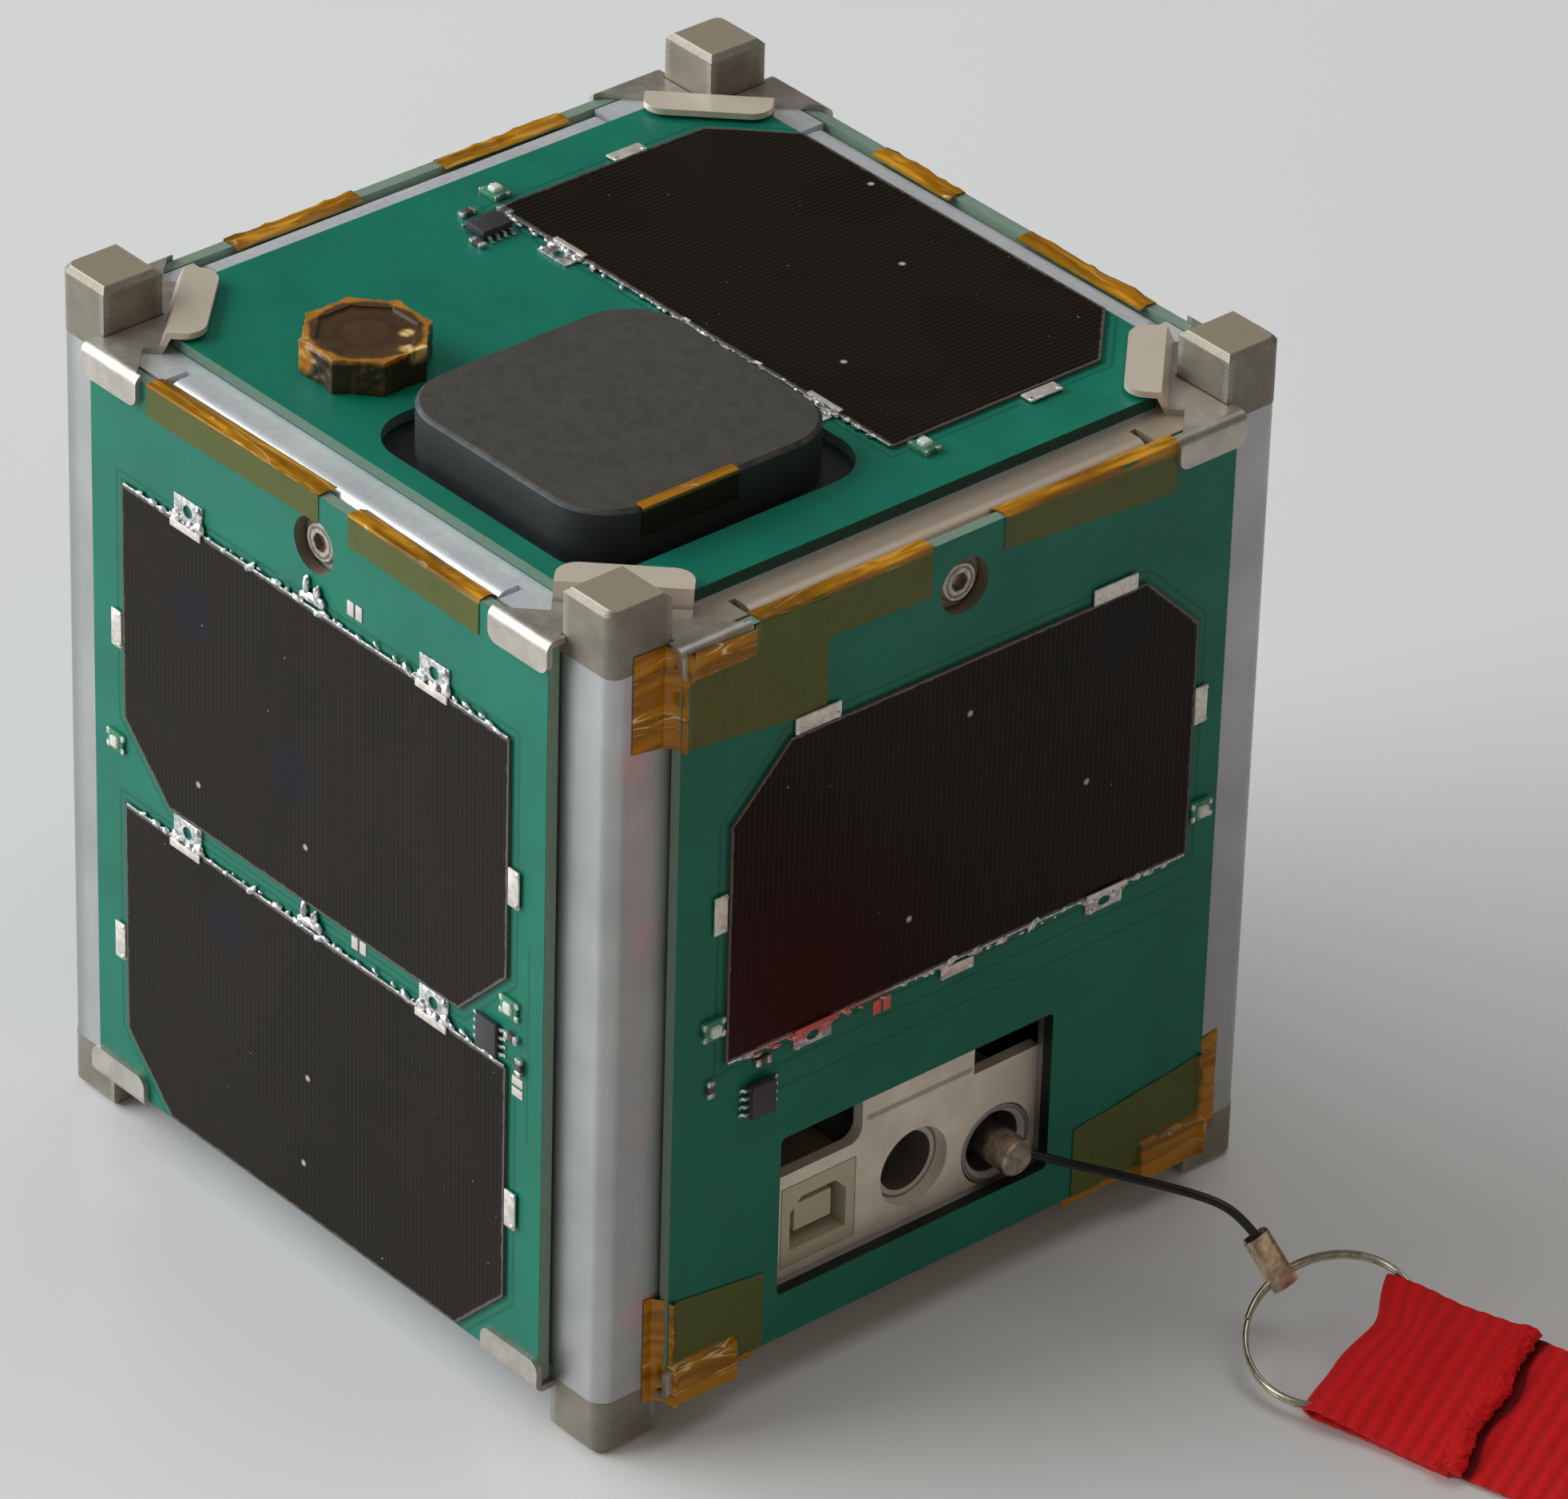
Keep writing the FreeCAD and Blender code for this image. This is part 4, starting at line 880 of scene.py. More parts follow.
def tab_foil():
    """Beige-white foil of the tabs, with a soft sheen."""
    mat = Finish("tab_foil", Metallic=0.55)
    cloud = mat.noise(1.1)
    base = mat.blend(cloud.ramp(0.3, 0.7), paint(206, 200, 190), paint(236, 230, 220))
    # Painted red reflection of the strap, on the upper part of the foil.
    base = mat.blend(painted_strap_reflection(mat) * mat.z.ramp(48.7, 49.2), base, paint(206, 96, 88))
    return mat.done(base, (mat.noise(7.0, detail=2.0), 0.28, 0.48), (cloud, 0.25, 0.05))


def pad_tin():
    """Thin tin on bare pads, with a painted red reflection of the strap on the window's side."""
    mat = Finish("pad_tin", Metallic=0.4)
    grain = mat.noise(4.0)
    base = mat.blend(grain, paint(206, 190, 184), paint(236, 226, 220))
    # Painted red reflection of the strap on the window's side.
    base = mat.blend(mat.x.ramp(51.5, 51.9), base, paint(226, 96, 84))
    return mat.done(base, (grain, 0.3, 0.5), (grain, 0.2, 0.03))


def plain_part(name, dark, light, rough, bump=0.2, **sockets):
    """Finish of a small moulded part: a fine grain between two display colours."""
    mat = Finish(name, **sockets)
    grain = mat.noise(4.0, roughness=0.65)
    base = mat.blend(grain.ramp(0.3, 0.7), paint(*dark), paint(*light))
    return mat.done(base, (grain, *rough), (grain, bump, 0.03))


def amber_film(settings):
    """Amber film: olive on a green board, folded and bright over metal with painted light and shade
    along its folds and painted highlights, dark over black.

    The attribute over_metal says which: 0 on a board, 1 on metal and -1 on black.
    """
    mat = Finish("amber_film", Coat_Weight=0.06, Coat_Roughness=0.06, Specular_IOR_Level=0.25)
    stored = mat.add("ShaderNodeAttribute", attribute_name="over_metal")
    over = Field(mat, stored.outputs["Fac"])
    flat = mat.add("ShaderNodeUVMap", uv_map="film").outputs[0]
    fold = mat.noise(1.0, mat.stretched(0.06, 0.62, 1.0, flat), 1.0, 0.4, 0.2)
    fine = mat.noise(1.0, mat.stretched(0.09, 0.55, 1.0, flat), 0.0, distortion=0.3)
    cloud = mat.noise(0.22, detail=2.0)
    share = over.ramp(0.25, 0.75)
    amber, olive = tuple(settings.amber), tuple(settings.olive)
    # Streaks along the folds, dark to bright: painted light and shade of the creases.
    bright = mat.blend(fold.ramp(0.32, 0.60), shaded(amber, 0.50), amber)
    # Painted highlight along the ridge where the film folds over the top edge.
    ridge = mat.z.off(106.75).ramp(0.14, 0.05) * fold.ramp(0.46, 0.60)
    bright = mat.blend(ridge * 0.55, bright, paint(246, 180, 52))
    glint = fine.off(0.5).ramp(0.011, 0.003) * cloud.ramp(0.46, 0.56)
    bright = mat.blend(glint * 0.7, bright, paint(255, 232, 176))
    dull = mat.blend(cloud, shaded(olive, 0.85), shaded(olive, 1.15))
    base = mat.blend(over.ramp(-0.2, -0.8), mat.blend(share, dull, bright), paint(34, 28, 16))
    mat.put("Metallic", share * 0.1)
    mat.put("Alpha", share * 0.12 + 0.84)
    height = fold * (share * 0.95 + 0.05)
    return mat.done(base, (share * -0.4 + cloud, 0.24, 0.42), (height, 0.3, 0.15))


def wrapped_film():
    """Dark amber film, golden at its rim and bright where its corners catch the light."""
    mat = Finish("cap_film", Coat_Weight=0.2, Coat_Roughness=0.08)
    crease = mat.noise(0.45, mat.stretched(1.0, 1.0, 0.5), detail=2.0, distortion=0.4)
    cloud = mat.noise(0.30, detail=2.0)
    reach = (mat.x - CAP_PLACE[0]).hypot(mat.y - CAP_PLACE[1])
    brown = mat.blend(cloud, paint(56, 37, 20), paint(96, 66, 33))
    brown = mat.blend(reach.off(3.4).ramp(0.9, 0.2) * 0.4, brown, paint(34, 22, 12))
    rim = (crease * 1.2 + reach).ramp(6.9, 7.5)
    gold = mat.blend(crease, paint(112, 66, 12), paint(226, 158, 40))
    low = mat.blend(crease, paint(34, 24, 10), paint(76, 52, 18))
    # Painted highlight: gold on the corner that faces the window lamp.
    low = mat.blend(mat.near(2.8, (-19.8, -38.2, 110.6)) * 0.9, low, paint(206, 130, 20))
    base = mat.blend(mat.z.ramp(111.9, 112.6), low, mat.blend(rim * 0.85, brown, gold))
    glints = mat.near(1.7, (-19.4, -38.2, 111.9)).most(
        mat.near(2.4, (-10.2, -29.2, 112.7)), mat.near(1.2, (-14.0, -27.4, 112.4))
    )
    base = mat.blend(glints * crease.ramp(0.42, 0.56) * 0.9, base, paint(250, 214, 140))
    return mat.done(base, (cloud, 0.22, 0.38), (crease, 0.5, 0.3))


def cord_sheath():
    """Black sheath with a soft sheen and a fine grain."""
    mat = Finish("cord_sheath")
    grain = mat.noise(5.0)
    base = mat.blend(grain, paint(14, 14, 15), paint(34, 33, 33))
    return mat.done(base, (grain, 0.32, 0.5), (grain, 0.2, 0.03))


def webbing(settings, seam_shadow_along):
    """Ribbed red webbing, woven, with painted shade between the ribs and the seam's painted shadow
    at one length along it.
    """
    mat = Finish(
        "strap_webbing",
        Sheen_Roughness=0.45,
        Specular_IOR_Level=0.2,
        Sheen_Tint=paint(255, 150, 140),
    )
    along, across, _ = mat.split(mat.add("ShaderNodeUVMap", uv_map="cloth").outputs[0])
    warp = (across * (2 * math.pi / 0.42)).maths("SINE")
    weft = (along * (2 * math.pi / 0.55)).maths("SINE")
    weave = warp * weft * 0.5 + 0.5
    ribs = (along * (2 * math.pi * MM / settings.rib_pitch)).maths("COSINE")
    fuzz = mat.noise(1.8, detail=4.0, roughness=0.7)
    red = tuple(settings.strap_red)
    base = mat.blend(weave * 0.4 + fuzz * 0.6, shaded(red, 0.78), shaded(red, 1.08))
    # Painted shade in the valleys between the ribs.
    base = mat.blend(ribs * -0.25 + 0.25, base, shaded(red, 0.55))
    # Painted shadow of the raised seam roll: a dark line on the lower layer beside the seam, with
    # less sheen.
    sway = (across * 0.578 + 0.6).maths("SINE")
    line = (sway * -0.45 + along).off(seam_shadow_along).ramp(1.15, 0.5)
    base = mat.blend(line * 0.94, base, paint(96, 8, 12))
    mat.put("Sheen Weight", line * -0.35 + 0.35)
    return mat.done(base, (fuzz, 0.62, 0.85), (fuzz * 0.5 + weave, 0.6, 0.10))


def frayed_cloth(red):
    """Loose red fibres, lighter than the webbing."""
    mat = Finish(
        "strap_frayed_end",
        Sheen_Weight=0.15,
        Specular_IOR_Level=0.2,
        Sheen_Tint=paint(255, 150, 140),
    )
    fibre = mat.noise(1.0, mat.stretched(3.4, 1.2, 3.4), detail=4.0, roughness=0.75)
    base = mat.blend(fibre.ramp(0.34, 0.62), shaded(red, 0.7), shaded(red, 1.15))
    return mat.done(base, (fibre, 0.7, 0.9), (fibre, 0.9, 0.25))


def table_top(colour):
    """Pale table with a soft gloss and faint clouds."""
    mat = Finish("table_top", Specular_IOR_Level=0.35)
    fine = mat.noise(0.05)
    base = mat.blend(mat.noise(0.004), shaded(colour, 0.97), tuple(colour))
    return mat.done(base, (fine, 0.26, 0.36), (fine, 0.02, 0.2))


class PieceMaker:
    """What the operators share."""

    bl_options = {"REGISTER", "UNDO"}

    @classmethod
    def poll(cls, context):
        return context.mode == "OBJECT"


class SATELLITE_OT_stage(PieceMaker, bpy.types.Operator):
    """Sets up the camera, the lamps and the table"""

    bl_idname = "satellite.stage"
    bl_label = "Stage"

    def execute(self, context):
        settings = context.scene.satellite_stage
        self.add_camera(context, settings)
        self.add_lamps(context, settings)
        floor = primitive("table_top", "plane", size=12.0)
        painted(floor, table_top(settings.floor_colour))
        context.scene.view_settings.view_transform = "Standard"
        return {"FINISHED"}

    def add_camera(self, context, settings):
        turn, rise = settings.azimuth, settings.elevation
        back = Vector(
            (math.sin(turn) * math.cos(rise), -math.cos(turn) * math.cos(rise), math.sin(rise))
        )
        right = Vector((math.cos(turn), math.sin(turn), 0))
        level = Matrix((right, back.cross(right), back)).transposed().to_4x4()
        bpy.ops.object.camera_add()
        camera = context.object
        camera.name = "photo_camera"
        camera.data.lens = settings.lens
        camera.data.sensor_width = 36.0
        camera.data.clip_start, camera.data.clip_end = 0.1, 20.0
        place = Matrix.Translation(settings.camera_place)
        camera.matrix_world = place @ level @ Matrix.Rotation(settings.roll, 4, "Z")
        context.scene.camera = camera

    def add_lamps(self, context, settings):
        # Each lamp: name, power, colour, size, direction that it stands in, distance.
        white, cool, warm = (0.945, 0.985, 1.0), (0.96, 0.98, 1.0), (1.0, 0.80, 0.58)
        lamps = [
            ("window_lamp", settings.window_power, white, 3.3, (-0.80, -0.62, 0.36), 2.6),
            ("ceiling_lamp", settings.ceiling_power, cool, 2.0, (0.0, 0.25, 1.0), 2.4),
            ("room_lamp", settings.room_power, warm, 2.0, (0.86, -0.10, 0.42), 2.4),
        ]
        for name, watts, colour, size, way, distance in lamps:
            way = Vector(way).normalized()
            bpy.ops.object.light_add(type="AREA", location=way * distance + Vector((0, 0, 0.05)))
            lamp = context.object
            lamp.name = name
            lamp.data.shape = "RECTANGLE"
            lamp.data.size, lamp.data.size_y = size, size * 0.9
            lamp.data.energy = watts
            lamp.data.color = colour
            lamp.rotation_euler = way.to_track_quat("Z", "Y").to_euler()
        world = bpy.data.worlds.new("room")
        world.use_nodes = True
        backdrop = world.node_tree.nodes["Background"]
        backdrop.inputs["Color"].default_value = (1.0, 0.94, 0.87, 1.0)
        backdrop.inputs["Strength"].default_value = settings.room_level
        context.scene.world = world


class SATELLITE_OT_cord(PieceMaker, bpy.types.Operator):
    """Makes the black cord from the pull pin to its clamp"""

    bl_idname = "satellite.cord"
    bl_label = "Cord"

    def execute(self, context):
        radius = context.scene.satellite_lanyard.cord_diameter / 2
        cord = wire("pin_cord", CORD_ROUTE, radius, order=3, resolution=16, roundness=5)
        cord.data.materials.append(cord_sheath())
        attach(cord, "pin")
        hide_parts("lanyard_cord")
        return {"FINISHED"}


def ring_frame():
    """The split ring's own frame, in metres: X along the strap and Z across the ring."""
    return shifted(*RING_PLACE) @ turned(RING_TURN, "Z") @ turned(RING_TILT, "X")


class SATELLITE_OT_ring(PieceMaker, bpy.types.Operator):
    """Makes the split ring from two turns of wire"""

    bl_idname = "satellite.ring"
    bl_label = "Split ring"

    # Steps along the wire, the angle where it starts and how far it goes round, in degrees.
    steps = 96
    first_angle = 200
    whole_turn = 716

    def execute(self, context):
        settings = context.scene.satellite_lanyard
        half, reach = settings.ring_wire / 2, settings.ring_radius
        places = []
        for step in range(self.steps + 1):
            share = step / self.steps
            angle = math.radians(self.first_angle + share * self.whole_turn)
            lift = -half + 2 * half * smooth_step(share, 0.44, 0.56)
            places.append((reach * math.cos(angle), reach * math.sin(angle), lift))
        ring = as_mesh(wire("split_ring", places, half, order=4, resolution=2, roundness=4))
        ring.matrix_world = ring_frame()
        place_in_mesh()
        face_out(ring)
        steel = turned_steel("ring_steel", paint(150, 138, 120), paint(226, 216, 198), 0.14, 0.30)
        finish_piece(ring, "pin", steel, smooth=50.0)
        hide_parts("lanyard_ring")
        return {"FINISHED"}


def clamp_frame(ring_radius):
    """The clamp's own frame: X from the cord's end to the ring's wire, Z across its flat faces."""
    cord_end, ring = Vector(CORD_ROUTE[-1]), ring_frame()
    towards = ring.inverted() @ cord_end
    towards.z = 0
    towards.normalize()
    place = ring @ (towards * ring_radius)
    turn = ring.to_3x3()
    side = (turn @ Vector((0, 0, 1))).cross(turn @ towards)
    way = (place - cord_end).normalized()
    across = (side - way * side.dot(way)).normalized()
    basis = Matrix((way, across, way.cross(across))).transposed().to_4x4()
    return Matrix.Translation(place) @ basis


class SATELLITE_OT_clamp(PieceMaker, bpy.types.Operator):
    """Makes the folded sheet clamp between the cord and the ring"""

    bl_idname = "satellite.clamp"
    bl_label = "Cord clamp"

    # Ends of the clamp along its own X, and the radius of its folds.
    start, end = -5.8, 1.4
    fold = 0.7

    def execute(self, context):
        section = self.section()
        clamp = primitive("cord_clamp", "plane", size=1)
        with editing(clamp):
            mesh = bmesh.from_edit_mesh(clamp.data)
            corners = [(x, *point) for point in section[:2] for x in (self.start, self.end)]
            for point, corner in zip(mesh.verts, corners):
                point.co = Vector(corner) * MM
            bmesh.update_edit_mesh(clamp.data)
            for here, after in zip(section[1:], section[2:]):
                pick(clamp, "EDGE", lambda m, h=here: (m.yz - Vector(h) * MM).length < 1e-6)
                extrude(0, after[0] - here[0], after[1] - here[1])
        face_out(clamp)
        put_on(clamp, "SOLIDIFY", thickness=0.32 * MM, offset=0.0)
        put_on(clamp, "BEVEL", width=0.08 * MM, segments=2, limit_method="ANGLE", angle_limit=1.0)
        clamp.matrix_world = clamp_frame(context.scene.satellite_lanyard.ring_radius)
        select_only(clamp)
        place_in_mesh()
        face_out(clamp)
        steel = turned_steel("clamp_steel", paint(146, 132, 114), paint(228, 208, 180), 0.26, 0.42)
        finish_piece(clamp, "pin", steel)
        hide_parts("lanyard_crimp")
        return {"FINISHED"}

    def section(self):
        """The folded tube: across the clamp, and away from the side that is seen."""
        section = [(2.25, -0.42), (1.85, -0.50), (1.55, -0.80), (1.10, -1.05)]
        for y, z, first in ((-0.95, -0.35, -90), (-0.95, 0.35, -180)):
            for step in range(5):
                angle = math.radians(first - 22.5 * step)
                section.append((y + self.fold * math.cos(angle), z + self.fold * math.sin(angle)))
        section += [(1.2, 1.05), (1.6, 0.85)]
        return [(0.86 * y, z) for y, z in section]


def bent_sheet(name, uv_map, columns, rows, shape, **settings):
    """A sheet bent from a grid, with its flat layout in millimetres as a UV map.

    The shape gives, for the numbers of a column and a row, first a place in metres and then one
    on the flat sheet. All that it gives is handed back too.
    """
    sheet = primitive(name, "grid", x_subdivisions=columns, y_subdivisions=rows, size=2, **settings)
    bent = []
    for point in sheet.data.vertices:
        column, row = round((point.co.x + 1) / 2 * columns), round((point.co.y + 1) / 2 * rows)
        bent.append(shape(column, row))
        point.co = bent[-1][0]
    layout = sheet.data.uv_layers.new(name=uv_map)
    for loop in sheet.data.loops:
        layout.data[loop.index].uv = bent[loop.vertex_index][1]
    return sheet, bent


def opening(x, y):
    """Distance between the strap's two layers in the ring's frame: wide only round the wire."""
    return 0.75 + 1.25 * (1.0 - smooth_step(math.hypot(x, y), 10.5, 16.0))


def fold_shift(across):
    """How far the fold of the strap is drawn in at a place across it."""
    return 2.1 * math.exp(-((across - 3.5) / 4.2) ** 2) + 0.5 * math.exp(-((across + 4) / 3.5) ** 2)


def strap_line():
    """The strap's rows from the sewn end of its upper layer round the fold to its far end.

    Each has its layer, its place along the strap, its angle round the fold and its length so far.
    """
    upper, lower = int((SEAM_X - FOLD_X) / STRAP_STEP), int((END_X - FOLD_X) / STRAP_STEP)
    rows = [("upper", SEAM_X - STRAP_STEP * n, 0.0) for n in range(upper)]
    rows += [("fold", FOLD_X, math.pi * n / FOLD_TURNS) for n in range(FOLD_TURNS + 1)]
    rows += [("lower", FOLD_X + STRAP_STEP * n, math.pi) for n in range(1, lower)]
    line, along = [], 0.0
    for layer, x, angle in rows:
        along += math.pi / FOLD_TURNS if layer == "fold" else STRAP_STEP
        line.append((layer, x, angle, along))
    return line


class SATELLITE_OT_strap(PieceMaker, bpy.types.Operator):
    """Makes the ribbed red strap, folded round the ring and sewn down"""

    bl_idname = "satellite.strap"
    bl_label = "Strap"

    columns = 36
    seam_round = 28

    def execute(self, context):
        settings = context.scene.satellite_lanyard
        line, wide = strap_line(), settings.strap_wide / MM
        ribs = 2 * math.pi * MM / settings.rib_pitch
        # Length along the webbing where the painted shadow of the seam falls, just past the seam.
        seam_shadow_along = next(row[3] for row in line if row[0] == "lower" and row[1] > SEAM_X + 1.2)

        def shape(column, row):
            across = wide * (column / self.columns - 0.5)
            along = line[row][3]
            rib = 0.11 * math.cos(ribs * along) + 0.08 * ripple(along, across, 0.0, 3.0)
            return self.place(*line[row][:3], across, rib), (along, across)

        strap, _ = bent_sheet(
            "red_strap", "cloth", self.columns, len(line) - 1, shape, calc_uvs=False
        )
        put_on(strap, "SOLIDIFY", thickness=settings.strap_thick, offset=0.0)
        face_out(strap, merge=False)
        finish_piece(strap, "pin", webbing(settings, seam_shadow_along), smooth=70.0)
        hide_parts("lanyard_strap")
        seam = self.make_seam(frayed_cloth(tuple(settings.strap_red)))
        line[-1][3] * MM
        return {"FINISHED"}

    def place(self, layer, x, angle, across, rib):
        """A point of the webbing, in metres, raised by its ribs."""
        if layer == "lower" and x > SEAM_X:
            share = smooth_step(x, SEAM_X, LEVEL_X)
            corner = ring_frame() @ (Vector((x, STRAP_SHIFT - 10.0, -STRAP_LOW)) * MM)
            corner.z *= 1 - share
            turn = turned(RING_TURN, "Z", 3) @ turned(RING_TILT * (1 - share), "X", 3)
            return corner + turn @ (Vector((0, across + 10.0, STRAP_LOW + STRAP_UNDER + rib)) * MM)
        drawn = fold_shift(across) * (1.0 - smooth_step(x, FOLD_X, FOLD_X + 9.0))
        y = STRAP_SHIFT + across * (1 + 0.05 * smooth_step(x, 8.0, 21.0))
        radius = opening(x + drawn if layer == "upper" else x, y) / 2
        x += drawn - (radius + rib) * math.sin(angle)
        height = STRAP_UNDER + radius + (radius + rib) * math.cos(angle)
        return ring_frame() @ (Vector((x, y, height)) * MM)

    def make_seam(self, cloth):
        """The frayed end of the upper layer, a rough roll across the strap, and loose threads."""
        ring = ring_frame()
        seam = primitive(
            "strap_seam", "cylinder", vertices=self.seam_round, radius=1.0 * MM, depth=20.6 * MM
        )
        seam.rotation_euler = (math.pi / 2, 0, 0)
        place_in_mesh()
        with editing(seam):
            pick(seam, "EDGE", lambda m: abs(m.y) < 1e-6)
            bpy.ops.mesh.subdivide(number_cuts=90)
        for point in seam.data.vertices:
            x, y, z = (number / MM for number in point.co)
            rough = 1.0 + 0.34 * ripple(x * 1.3, y, z * 1.3, 0.9) + 0.30 * ripple(x, y, z, 0.3)
            wave = 0.45 * math.sin(y * 0.55 + 0.6) + 0.35 * ripple(y, 1.0, 2.0, 4.0)
            place = Vector((x * rough * 1.4 + 21.3 + wave, y - 0.8, z * rough * 0.95 - 0.05))
            point.co = ring @ (place * MM)
        seam = joined("strap_seam", [seam, *(self.thread(ring, number) for number in range(5))])
        face_out(seam)
        finish_piece(seam, "pin", cloth, smooth=70.0)
        return seam

    def thread(self, ring, number):
        """One loose thread at the near end of the seam."""
        picker = random.Random(40 + number)
        spot = Vector((21.2 + picker.uniform(-1.2, 1.0), -10.4, 0.3))
        places = []
        for _ in range(5):
            place = ring @ (spot * MM)
            place.z = max(place.z, 0.2 * MM)
            places.append(place)
            spot += Vector((picker.uniform(-0.5, 0.3), -0.34, picker.uniform(-0.1, 0.35)))
        return as_mesh(wire("thread", places, 0.07 * MM, order=3, resolution=4, roundness=1))


class SATELLITE_OT_metalwork(PieceMaker, bpy.types.Operator):
    """Finishes the rails, plates, feet, clips, screws, pin and inner block"""

    bl_idname = "satellite.metalwork"
    bl_label = "Metalwork"

    def execute(self, context):
        dress(brushed_rail(), "chassis_walls")
        dress(plate_satin(), "cover_plate", "base_plate")
        foot, clip = foot_coating(), clip_sheet()
        for corner in ("front", "right", "back", "left"):
            dress(foot, f"foot_upper_{corner}", f"foot_lower_{corner}")
            dress(clip, f"clip_upper_{corner}", f"clip_lower_{corner}")
        dress(screw_steel(), "cover_screws")
        pin = turned_steel("pin_turned", paint(132, 124, 114), paint(206, 190, 168), 0.20, 0.38)
        dress(pin, "pull_pin")
        dress(stack_finish(), "electronics_stack")
        return {"FINISHED"}


class SATELLITE_OT_boards(PieceMaker, bpy.types.Operator):
    """Finishes the circuit boards and the solar cells"""

    bl_idname = "satellite.boards"
    bl_label = "Boards and cells"

    def execute(self, context):
        settings = context.scene.satellite_boards
        green, brown = tuple(settings.mask_green), tuple(settings.cell_brown)
        for face in CELL_ROWS:
            dress(board_mask(face, green), f"panel_{face}")
            cells = "cell" if face in ("x_plus", "top") else "cells"
            dress(cell_glass(face, brown, settings.grid_pitch), f"{cells}_{face}")
        return {"FINISHED"}


class SATELLITE_OT_ports(PieceMaker, bpy.types.Operator):
    """Finishes the port plate, the two ports and the pin's socket"""

    bl_idname = "satellite.ports"
    bl_label = "Ports"

    def execute(self, context):
        dress(port_sheet(), "port_plate")
        dress(cream_plastic(), "usb_port")
        dress(ringed_plastic("jack_black", -1.0, 19.0, 3.9, paint(190, 182, 172)), "power_jack")
        dress(ringed_plastic("socket_grey", 11.9, 16.7, 4.0, paint(196, 196, 200)), "pin_socket")
        return {"FINISHED"}


def lay_film(context, name, columns, rows, shape, side="x_plus"):
    """A piece of amber film, bent by a shape as for a sheet, which also gives over_metal."""
    settings = context.scene.satellite_tapes
    tape, bent = bent_sheet(name, "film", columns, rows, shape)
    stored = tape.data.attributes.new("over_metal", "FLOAT", "POINT")
    for item, (_, _, level) in zip(stored.data, bent):
        item.value = level
    put_on(tape, "SOLIDIFY", thickness=settings.film_thick, offset=1.0)
    tape.matrix_world = turned(90 * SIDE_TURNS[side], "Z")
    select_only(tape)
    place_in_mesh()
    face_out(tape, merge=False)
    material = bpy.data.materials.get("amber_film") or amber_film(settings)
    finish_piece(tape, "satellite", material, smooth=50.0)


def film_strip(context, name, section, span, side, fold, creases=1.0, slant=0.0, on_black=False):
    """A strip of film: a section of (out, up) points, run over a span across a side.

    Above the level of the fold the film lies over metal and is creased.
    """
    steps = []
    for (out, up), (next_out, next_up) in zip(section, section[1:]):
        count = max(1, round(math.hypot(next_out - out, next_up - up) / FILM_STEP))
        for share in (number / count for number in range(count)):
            steps.append((out + share * (next_out - out), up + share * (next_up - up)))
    steps.append(section[-1])
    start, end = span
    columns, rows = max(8, round((end - start) / 0.35)), len(steps) - 1
    wrinkle = context.scene.satellite_tapes.crease / MM * creases
    seed = start * 3.1 + end

    def shape(column, row):
        out, up = steps[row]
        across = start + column / columns * (end - start)
        loose = smooth_step(row / rows, 0.0, 0.12)
        over = smooth_step(up, fold - 0.1, fold + 0.2)
        up += slant * (across - start) * (1.0 - over)
        sharp = 1.0 - 2.2 * abs(ripple(across * 0.28, up * 1.7 + out, seed, 1.1))
        soft = ripple(across * 0.4, up, seed + 9.0, 2.6)
        rise = over * loose * wrinkle * (0.65 * max(sharp, 0.0) + 0.5 * soft)
        swell = 0.04 * (1 - over) * ripple(across, up, seed, 1.8)
        place = Vector((out + rise * 0.7 + swell, across, up + rise)) * MM
        return place, (across + seed, row * FILM_STEP), 2 * over - 1 if on_black else over

    lay_film(context, name, columns, rows, shape, side)


class SATELLITE_OT_antenna(PieceMaker, bpy.types.Operator):
    """Finishes the antenna and lays a strip of film over its edge"""

    bl_idname = "satellite.antenna"
    bl_label = "Antenna"

    def execute(self, context):
        dress(antenna_cover(), "patch_antenna")
        section = [(33.98, 109.6), (33.99, 112.9), (33.93, 113.27), (33.5, 113.4), (32.75, 113.405)]
        film_strip(
            context, "antenna_tape", section, (-32.4, -18.4), "x_plus",
            fold=112.9, creases=0.15, on_black=True,
        )
        return {"FINISHED"}


class SATELLITE_OT_edge_tapes(PieceMaker, bpy.types.Operator):
    """Lays amber tape over the upper edges of the side boards"""

    bl_idname = "satellite.edge_tapes"
    bl_label = "Edge tapes"

    # Side, number, start, end, lower edge and its slant.
    strips = [
        ("y_minus", 1, -30.8, 0.9, 102.5, 0.018),
        ("y_minus", 2, 6.3, 29.5, 102.7, -0.02),
        ("x_plus", 1, -30.4, -5.0, 101.0, -0.03),
        ("x_plus", 2, 5.8, 32.3, 102.3, -0.08),
        ("x_minus", 1, 5.4, 24.4, 102.6, 0.0),
        ("x_minus", 2, -26.2, -7.2, 102.2, 0.02),
        ("y_plus", 1, 7.0, 21.0, 102.4, 0.0),
        ("y_plus", 2, -26.6, -5.0, 102.6, 0.01),
    ]
    # Where the film folds over the edge, and its section from there inwards.
    fold = 106.35
    over_edge = [(51.9, 106.66), (50.4, 106.72), (49.3, 106.35)]

    def execute(self, context):
        for side, number, start, end, low, slant in self.strips:
            section = [(52.05, low), (52.05, self.fold), *self.over_edge]
            film_strip(
                context, f"tape_{side}_{number}", section, (start, end), side,
                fold=self.fold, slant=slant,
            )
        return {"FINISHED"}


def ground_under_film(y, z):
    """Distance outwards of what lies under a film on the window's side, and if it is metal."""
    if abs(y) > RAIL_START:
        bend = max(abs(y) - 48.0, 0.0)
        return RAIL_FACE - 2.0 + math.sqrt(max(4.0 - bend * bend, 0.0)), 1.0
    if abs(y) > CLIP_START and (z > 103.2 or z < 10.3):
        return 52.82, 1.0
    if z < 6.9:
        return 50.6, 1.0
    return SIDE_FACE, 0.0


